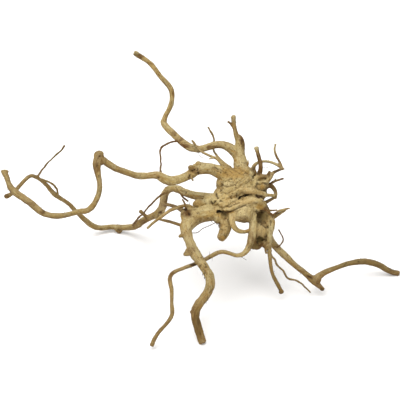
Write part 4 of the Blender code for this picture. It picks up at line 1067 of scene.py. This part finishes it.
def make_wood(stout, table):
    """Burl and stout roots as one skin: melted together, hollowed, weathered and cut into pieces."""
    shapes = tubes(stout, ROOT_SIDES)
    shapes += [ball(lump, LUMP_ROUGHNESS, seed) for seed, lump in enumerate(LUMPS + SWELLINGS, start=1)]
    skin = mesh_object("skin", *gather(shapes))
    melt(skin, passes=3)
    apply_all(skin)
    rotten = [ball(lump, HOLLOW_ROUGHNESS, seed) for seed, lump in enumerate(HOLLOWS, start=31)]
    cutters = mesh_object("rot", *gather(rotten))
    melt(cutters, passes=1)
    apply_all(cutters)
    hollow = skin.modifiers.new("hollow", "BOOLEAN")
    hollow.operation = "DIFFERENCE"
    hollow.solver = "MANIFOLD"
    hollow.object = cutters
    melt(skin, passes=2)
    apply_all(skin)
    bpy.data.objects.remove(cutters)

    points = read_points(skin.data, "co") / MM
    normals = read_points(skin.data, "normal")
    faces = np.empty(len(skin.data.polygons) * 4, np.int32)
    skin.data.polygons.foreach_get("vertices", faces)
    nearest = nearest_map(seen_at(points))
    moved, grain, marks = weather(points, normals, table, nearest, relief=1.0)
    skin.data.vertices.foreach_set("co", (moved * MM).ravel())
    skin.data.update()
    normals = read_points(skin.data, "normal")
    bpy.data.objects.remove(skin)
    pieces = split_skin(moved, faces.reshape(-1, 4), normals, grain, marks)
    return pieces, nearest, moved, normals


def make_twigs(thin, table, nearest):
    """Thin twigs, swept finely, with the same weathering in proportion to their size."""
    item = mesh_object("twigs", *gather(tubes(thin, TWIG_SIDES)))
    points = read_points(item.data, "co") / MM
    normals = read_points(item.data, "normal")
    moved, grain, marks = weather(points, normals, table, nearest, TWIG_RELIEF)
    item.data.vertices.foreach_set("co", (moved * MM).ravel())
    give_marks(item.data, grain, marks)
    item.data.shade_smooth()
    return item


def splinter(start, out, run, twist):
    """Loose fibre that curls away from the skin along the grain.

    centre = start + length * (along * t + out * (lift * t^2 - SPLINTER_SINK)), thinner as t grows.
    """
    along = run * rng.choice((-1.0, 1.0)) + SPLINTER_STRAY * rng.normal(size=3)
    along -= out * (along @ out)
    along /= np.linalg.norm(along)
    t = np.linspace(SPLINTER_START, 1.0, SPLINTER_ROWS)[:, None]
    lift = rng.uniform(*SPLINTER_LIFT)
    length = rng.uniform(*SPLINTER_LENGTH)
    centres = start + length * (along * t + out * (t * t * lift - SPLINTER_SINK))
    centres[:, 2] = np.maximum(centres[:, 2], LOWEST_SPLINTER)
    radii = rng.uniform(*SPLINTER_RADIUS) * (SPLINTER_TAPER - t[:, 0])
    return sweep(centres, radii, SPLINTER_SIDES, twist)


def make_hairs(skin, normals, table):
    """Root hairs that hang between the roots, and the splinters on the skin."""
    parts = []
    for radius, route in HAIRS:
        rows = smooth_route([point + (radius,) for point in route], HAIR_STEP)
        rows[:, RADIUS] *= 1.0 + HAIR_SWELL * np.sin(np.arange(len(rows)) * HAIR_RATE)
        parts.append(rows)
    shapes = tubes(parts, HAIR_SIDES)
    picks = rng.choice(len(skin), SPLINTERS, replace=False)
    runs = follow_roots(skin[picks], table)[:, DIRECTION]
    for i, at in enumerate(picks):
        shapes.append(splinter(skin[at], normals[at], runs[i], SPLINTER_TWIST * i))
    item = mesh_object("root_hairs", *gather(shapes))
    item.data.shade_smooth()
    return item


class Wire:
    """An output of a node tree that can be added, multiplied and so on, each step making a node."""

    def __init__(self, tree, socket=None):
        """Wire of a tree; without a socket it only serves to make other nodes."""
        self.tree = tree
        self.socket = socket

    def feed(self, target):
        """Link this output to an input."""
        self.tree.links.new(self.socket, target)

    def make(self, kind, output, settings, inputs):
        """New node with its settings and socket values; gives the wire of one output."""
        node = self.tree.nodes.new(kind)
        for name, value in settings.items():
            setattr(node, name, value)
        for key, value in inputs.items():
            if isinstance(value, Wire):
                value.feed(node.inputs[key])
            else:
                node.inputs[key].default_value = value
        return Wire(self.tree, node.outputs[output])

    def maths(self, operation, *values):
        """One step of arithmetic."""
        return self.make("ShaderNodeMath", 0, {"operation": operation}, dict(enumerate(values)))

    def __add__(self, other):
        return self.maths("ADD", self, other)

    __radd__ = __add__

    def __sub__(self, other):
        return self.maths("SUBTRACT", self, other)

    def __rsub__(self, other):
        return self.maths("SUBTRACT", other, self)

    def __mul__(self, other):
        return self.maths("MULTIPLY", self, other)

    __rmul__ = __mul__

    def eased(self, low, high):
        """Smooth step from 0 at low to 1 at high."""
        return self.make("ShaderNodeMapRange", 0, {"interpolation_type": "SMOOTHSTEP"},
                         {"Value": self, "From Min": low, "From Max": high})

    def between(self, first, second):
        """Mix from one colour to another, with this wire as the share of the second."""
        return self.make("ShaderNodeMix", MIX_RESULT, {"data_type": "RGBA"},
                         {MIX_SHARE: self, MIX_FIRST: first, MIX_SECOND: second})

    def tinted(self, colour, share):
        """This colour mixed towards another by a share."""
        return share.between(self, colour)

    def mark(self, name, output="Fac"):
        """An attribute of the mesh points."""
        return self.make("ShaderNodeAttribute", output, {"attribute_name": name}, {})

    def speckle(self, where, scale, detail):
        """Noise texture from 0 to 1."""
        return self.make("ShaderNodeTexNoise", "Fac", {},
                         {"Vector": where, "Scale": scale, "Detail": detail})


def screen_colour(red, green, blue):
    """Linear colour of screen values from 0 to 255."""
    values = np.array([red, green, blue]) / 255.0
    values = np.where(values > 0.04045, ((values + 0.055) / 1.055) ** 2.4, values / 12.92)
    return (*values.tolist(), 1.0)


# Colours of the wood and its stains, and of its painted light and painted shade
PALE = screen_colour(190, 177, 133)
TAN = screen_colour(147, 117, 62)
STRAW = screen_colour(169, 145, 88)
OLIVE = screen_colour(155, 144, 94)
# Brown of aged wood, its fibres and specks, and also painted shade in low places
BROWN_AND_SHADE = screen_colour(90, 61, 25)
RUST = screen_colour(158, 122, 54)
DEEP = screen_colour(32, 18, 8)
# Rot colour in the hollows, made light enough to paint in the light on their walls
LIT_ROT = screen_colour(158, 136, 86)
# Painted shade on undersides, and also the brown of the root hairs
SHADE_AND_HAIR_BROWN = screen_colour(84, 54, 19)
# Painted light on shaded places
PAINTED_LIGHT_TINT = screen_colour(200, 174, 122)
# Dull olive of the wood, and also painted shade in hollows
DARK_OLIVE = screen_colour(104, 88, 46)


def new_material(name):
    """Material with nodes, and the inputs of its shader."""
    material = bpy.data.materials.new(name)
    material.use_nodes = True
    return material, material.node_tree.nodes["Principled BSDF"].inputs


def wood_material():
    """Dry barkless wood: straw and tan streaks along the grain, stains, rust and dark cracks, with painted
    light on tops and shaded places, and painted shade under roots, in low places, hollows and cracks.
    """
    wood, inputs = new_material("driftwood")
    start = Wire(wood.node_tree)
    grain = start.mark("grain", "Vector")
    where = start.make("ShaderNodeTexCoord", "Object", {}, {})

    broad = start.speckle(where, scale=45.0, detail=3.0)
    bands = start.speckle(grain, scale=0.16, detail=3.0)
    streaks = start.speckle(grain, scale=0.75, detail=3.0)
    fibres = start.speckle(grain, scale=2.2, detail=2.0)
    mottle = start.speckle(where, scale=260.0, detail=3.0)
    specks = start.speckle(where, scale=620.0, detail=1.0)

    tone = bands.eased(0.36, 0.64).between(STRAW, TAN)
    tone = tone.tinted(PALE, streaks.eased(0.44, 0.72) * 0.75)
    tone = tone.tinted(OLIVE, broad.eased(0.48, 0.66) * 0.4)
    tone = tone.tinted(PALE, mottle.eased(0.5, 0.66) * 0.45)
    # Painted light: paler tops, pale patches that are partly painted light, and patches of painted light
    for colour, name, strength in ((PALE, "top", 0.35), (PALE, "bleached_and_lit", 0.85), (PAINTED_LIGHT_TINT, "painted_light", 0.75)):
        tone = tone.tinted(colour, start.mark(name) * strength)
    # Painted shade: undersides turn dark brown
    tone = tone.tinted(SHADE_AND_HAIR_BROWN, start.mark("painted_under_shade") * (0.22 + 0.33 * bands.eased(0.35, 0.6)))
    tone = tone.tinted(RUST, start.mark("warm") * (0.55 + 0.45 * streaks.eased(0.35, 0.6)))
    tone = tone.tinted(BROWN_AND_SHADE, start.mark("brown") * (0.7 + 0.5 * streaks.eased(0.35, 0.6)))
    # Painted shade in the low places of the relief
    tone = tone.tinted(BROWN_AND_SHADE, start.mark("low") * 0.5)
    # Dark fibre lines, fainter under the painted light
    line = (1.0 - fibres.eased(0.36, 0.54)) * (0.22 + 0.5 * broad) * (1.0 - 0.7 * start.mark("painted_light"))
    tone = tone.tinted(BROWN_AND_SHADE, line)
    tone = tone.tinted(BROWN_AND_SHADE, specks.eased(0.62, 0.7) * 0.7)
    # Hollow walls: rot colour made light, which paints in light that the deep hollows don't get
    tone = tone.tinted(LIT_ROT, start.mark("hollow") * 0.8)
    # Dull olive wood, and painted shade in the hollows
    tone = tone.tinted(DARK_OLIVE, start.mark("olive_and_shade"))
    # Dark cracks, pits, furrows and spots: painted shade in cracks, pits and furrows by their depth, and
    # painted shadows from some dark patches
    tone = tone.tinted(DEEP, start.mark("dark"))
    tone.feed(inputs["Base Color"])

    rough = 0.86 - 0.16 * streaks + 0.1 * start.mark("dark")
    rough.feed(inputs["Roughness"])
    inputs["Specular IOR Level"].default_value = 0.25
    height = fibres * 0.5 + streaks * 0.6 + mottle * 0.35 + specks * 0.12
    bump = start.make("ShaderNodeBump", 0, {}, {"Height": height, "Distance": WOOD_BUMP, "Strength": 0.9})
    bump.feed(inputs["Normal"])
    return wood


def hair_material():
    """Grey-brown wiry root hair."""
    hair, inputs = new_material("root_hair")
    start = Wire(hair.node_tree)
    where = start.make("ShaderNodeTexCoord", "Object", {}, {})
    patchy = start.speckle(where, scale=300.0, detail=2.0)
    patchy.between(DEEP, SHADE_AND_HAIR_BROWN).feed(inputs["Base Color"])
    inputs["Roughness"].default_value = 0.8
    bump = start.make("ShaderNodeBump", 0, {}, {"Height": patchy, "Distance": HAIR_BUMP})
    bump.feed(inputs["Normal"])
    return hair


def floor_material():
    """Plain near-white floor."""
    paper, inputs = new_material("floor")
    inputs["Base Color"].default_value = (0.92, 0.92, 0.92, 1.0)
    inputs["Roughness"].default_value = 0.9
    return paper


def area_light(name, stand, size, power, colour):
    """Square soft light that shines at the root."""
    light = bpy.data.lights.new(name, "AREA")
    light.size = size
    light.energy = power
    light.color = colour
    item = bpy.data.objects.new(name, light)
    item.location = stand
    bpy.context.scene.collection.objects.link(item)
    item.rotation_euler = (LIGHT_TARGET - item.location).to_track_quat("-Z", "Y").to_euler()


def make_stage():
    """Floor, lights and world."""
    corners = np.array([[-1, -1, 0], [1, -1, 0], [1, 1, 0], [-1, 1, 0]]) * FLOOR_HALF
    corners[:, 2] = FLOOR_DROP
    floor = mesh_object("floor", corners, [(0, 1, 2, 3)])
    floor.data.materials.append(floor_material())
    for name, settings in LIGHTS.items():
        area_light(name, *settings)
    world = bpy.data.worlds.new("studio")
    world.use_nodes = True
    background = world.node_tree.nodes["Background"].inputs
    background["Color"].default_value = (1.0, 1.0, 1.0, 1.0)
    background["Strength"].default_value = WORLD_LIGHT
    bpy.context.scene.view_settings.view_transform = "Standard"
    bpy.context.scene.world = world


def make_camera():
    """Camera square to the sheet, at the distance from which the routes were laid out."""
    lens = bpy.data.cameras.new("camera")
    lens.sensor_width = SENSOR
    lens.lens = SENSOR * VIEW_DISTANCE / SHEET_SIZE
    item = bpy.data.objects.new("camera", lens)
    item.location = ((SHEET_PLACE - AWAY * VIEW_DISTANCE) * MM).tolist()
    item.rotation_euler = (math.pi / 2.0 - LOOK_DOWN, 0.0, 0.0)
    bpy.context.scene.collection.objects.link(item)
    bpy.context.scene.camera = item


def build():
    """Make the whole scene."""
    make_camera()
    make_stage()
    stout, thin, spines = split_routes()
    table = spine_table(spines)
    pieces, nearest, skin, normals = make_wood(stout, table)
    pieces.append(make_twigs(thin, table, nearest))
    wood = wood_material()
    for piece in pieces:
        piece.data.materials.append(wood)
    hairs = make_hairs(skin, normals, table)
    hairs.data.materials.append(hair_material())
    pieces.append(hairs)
    for piece in pieces:
        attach(piece, "root")
        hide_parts(NODE)


build()
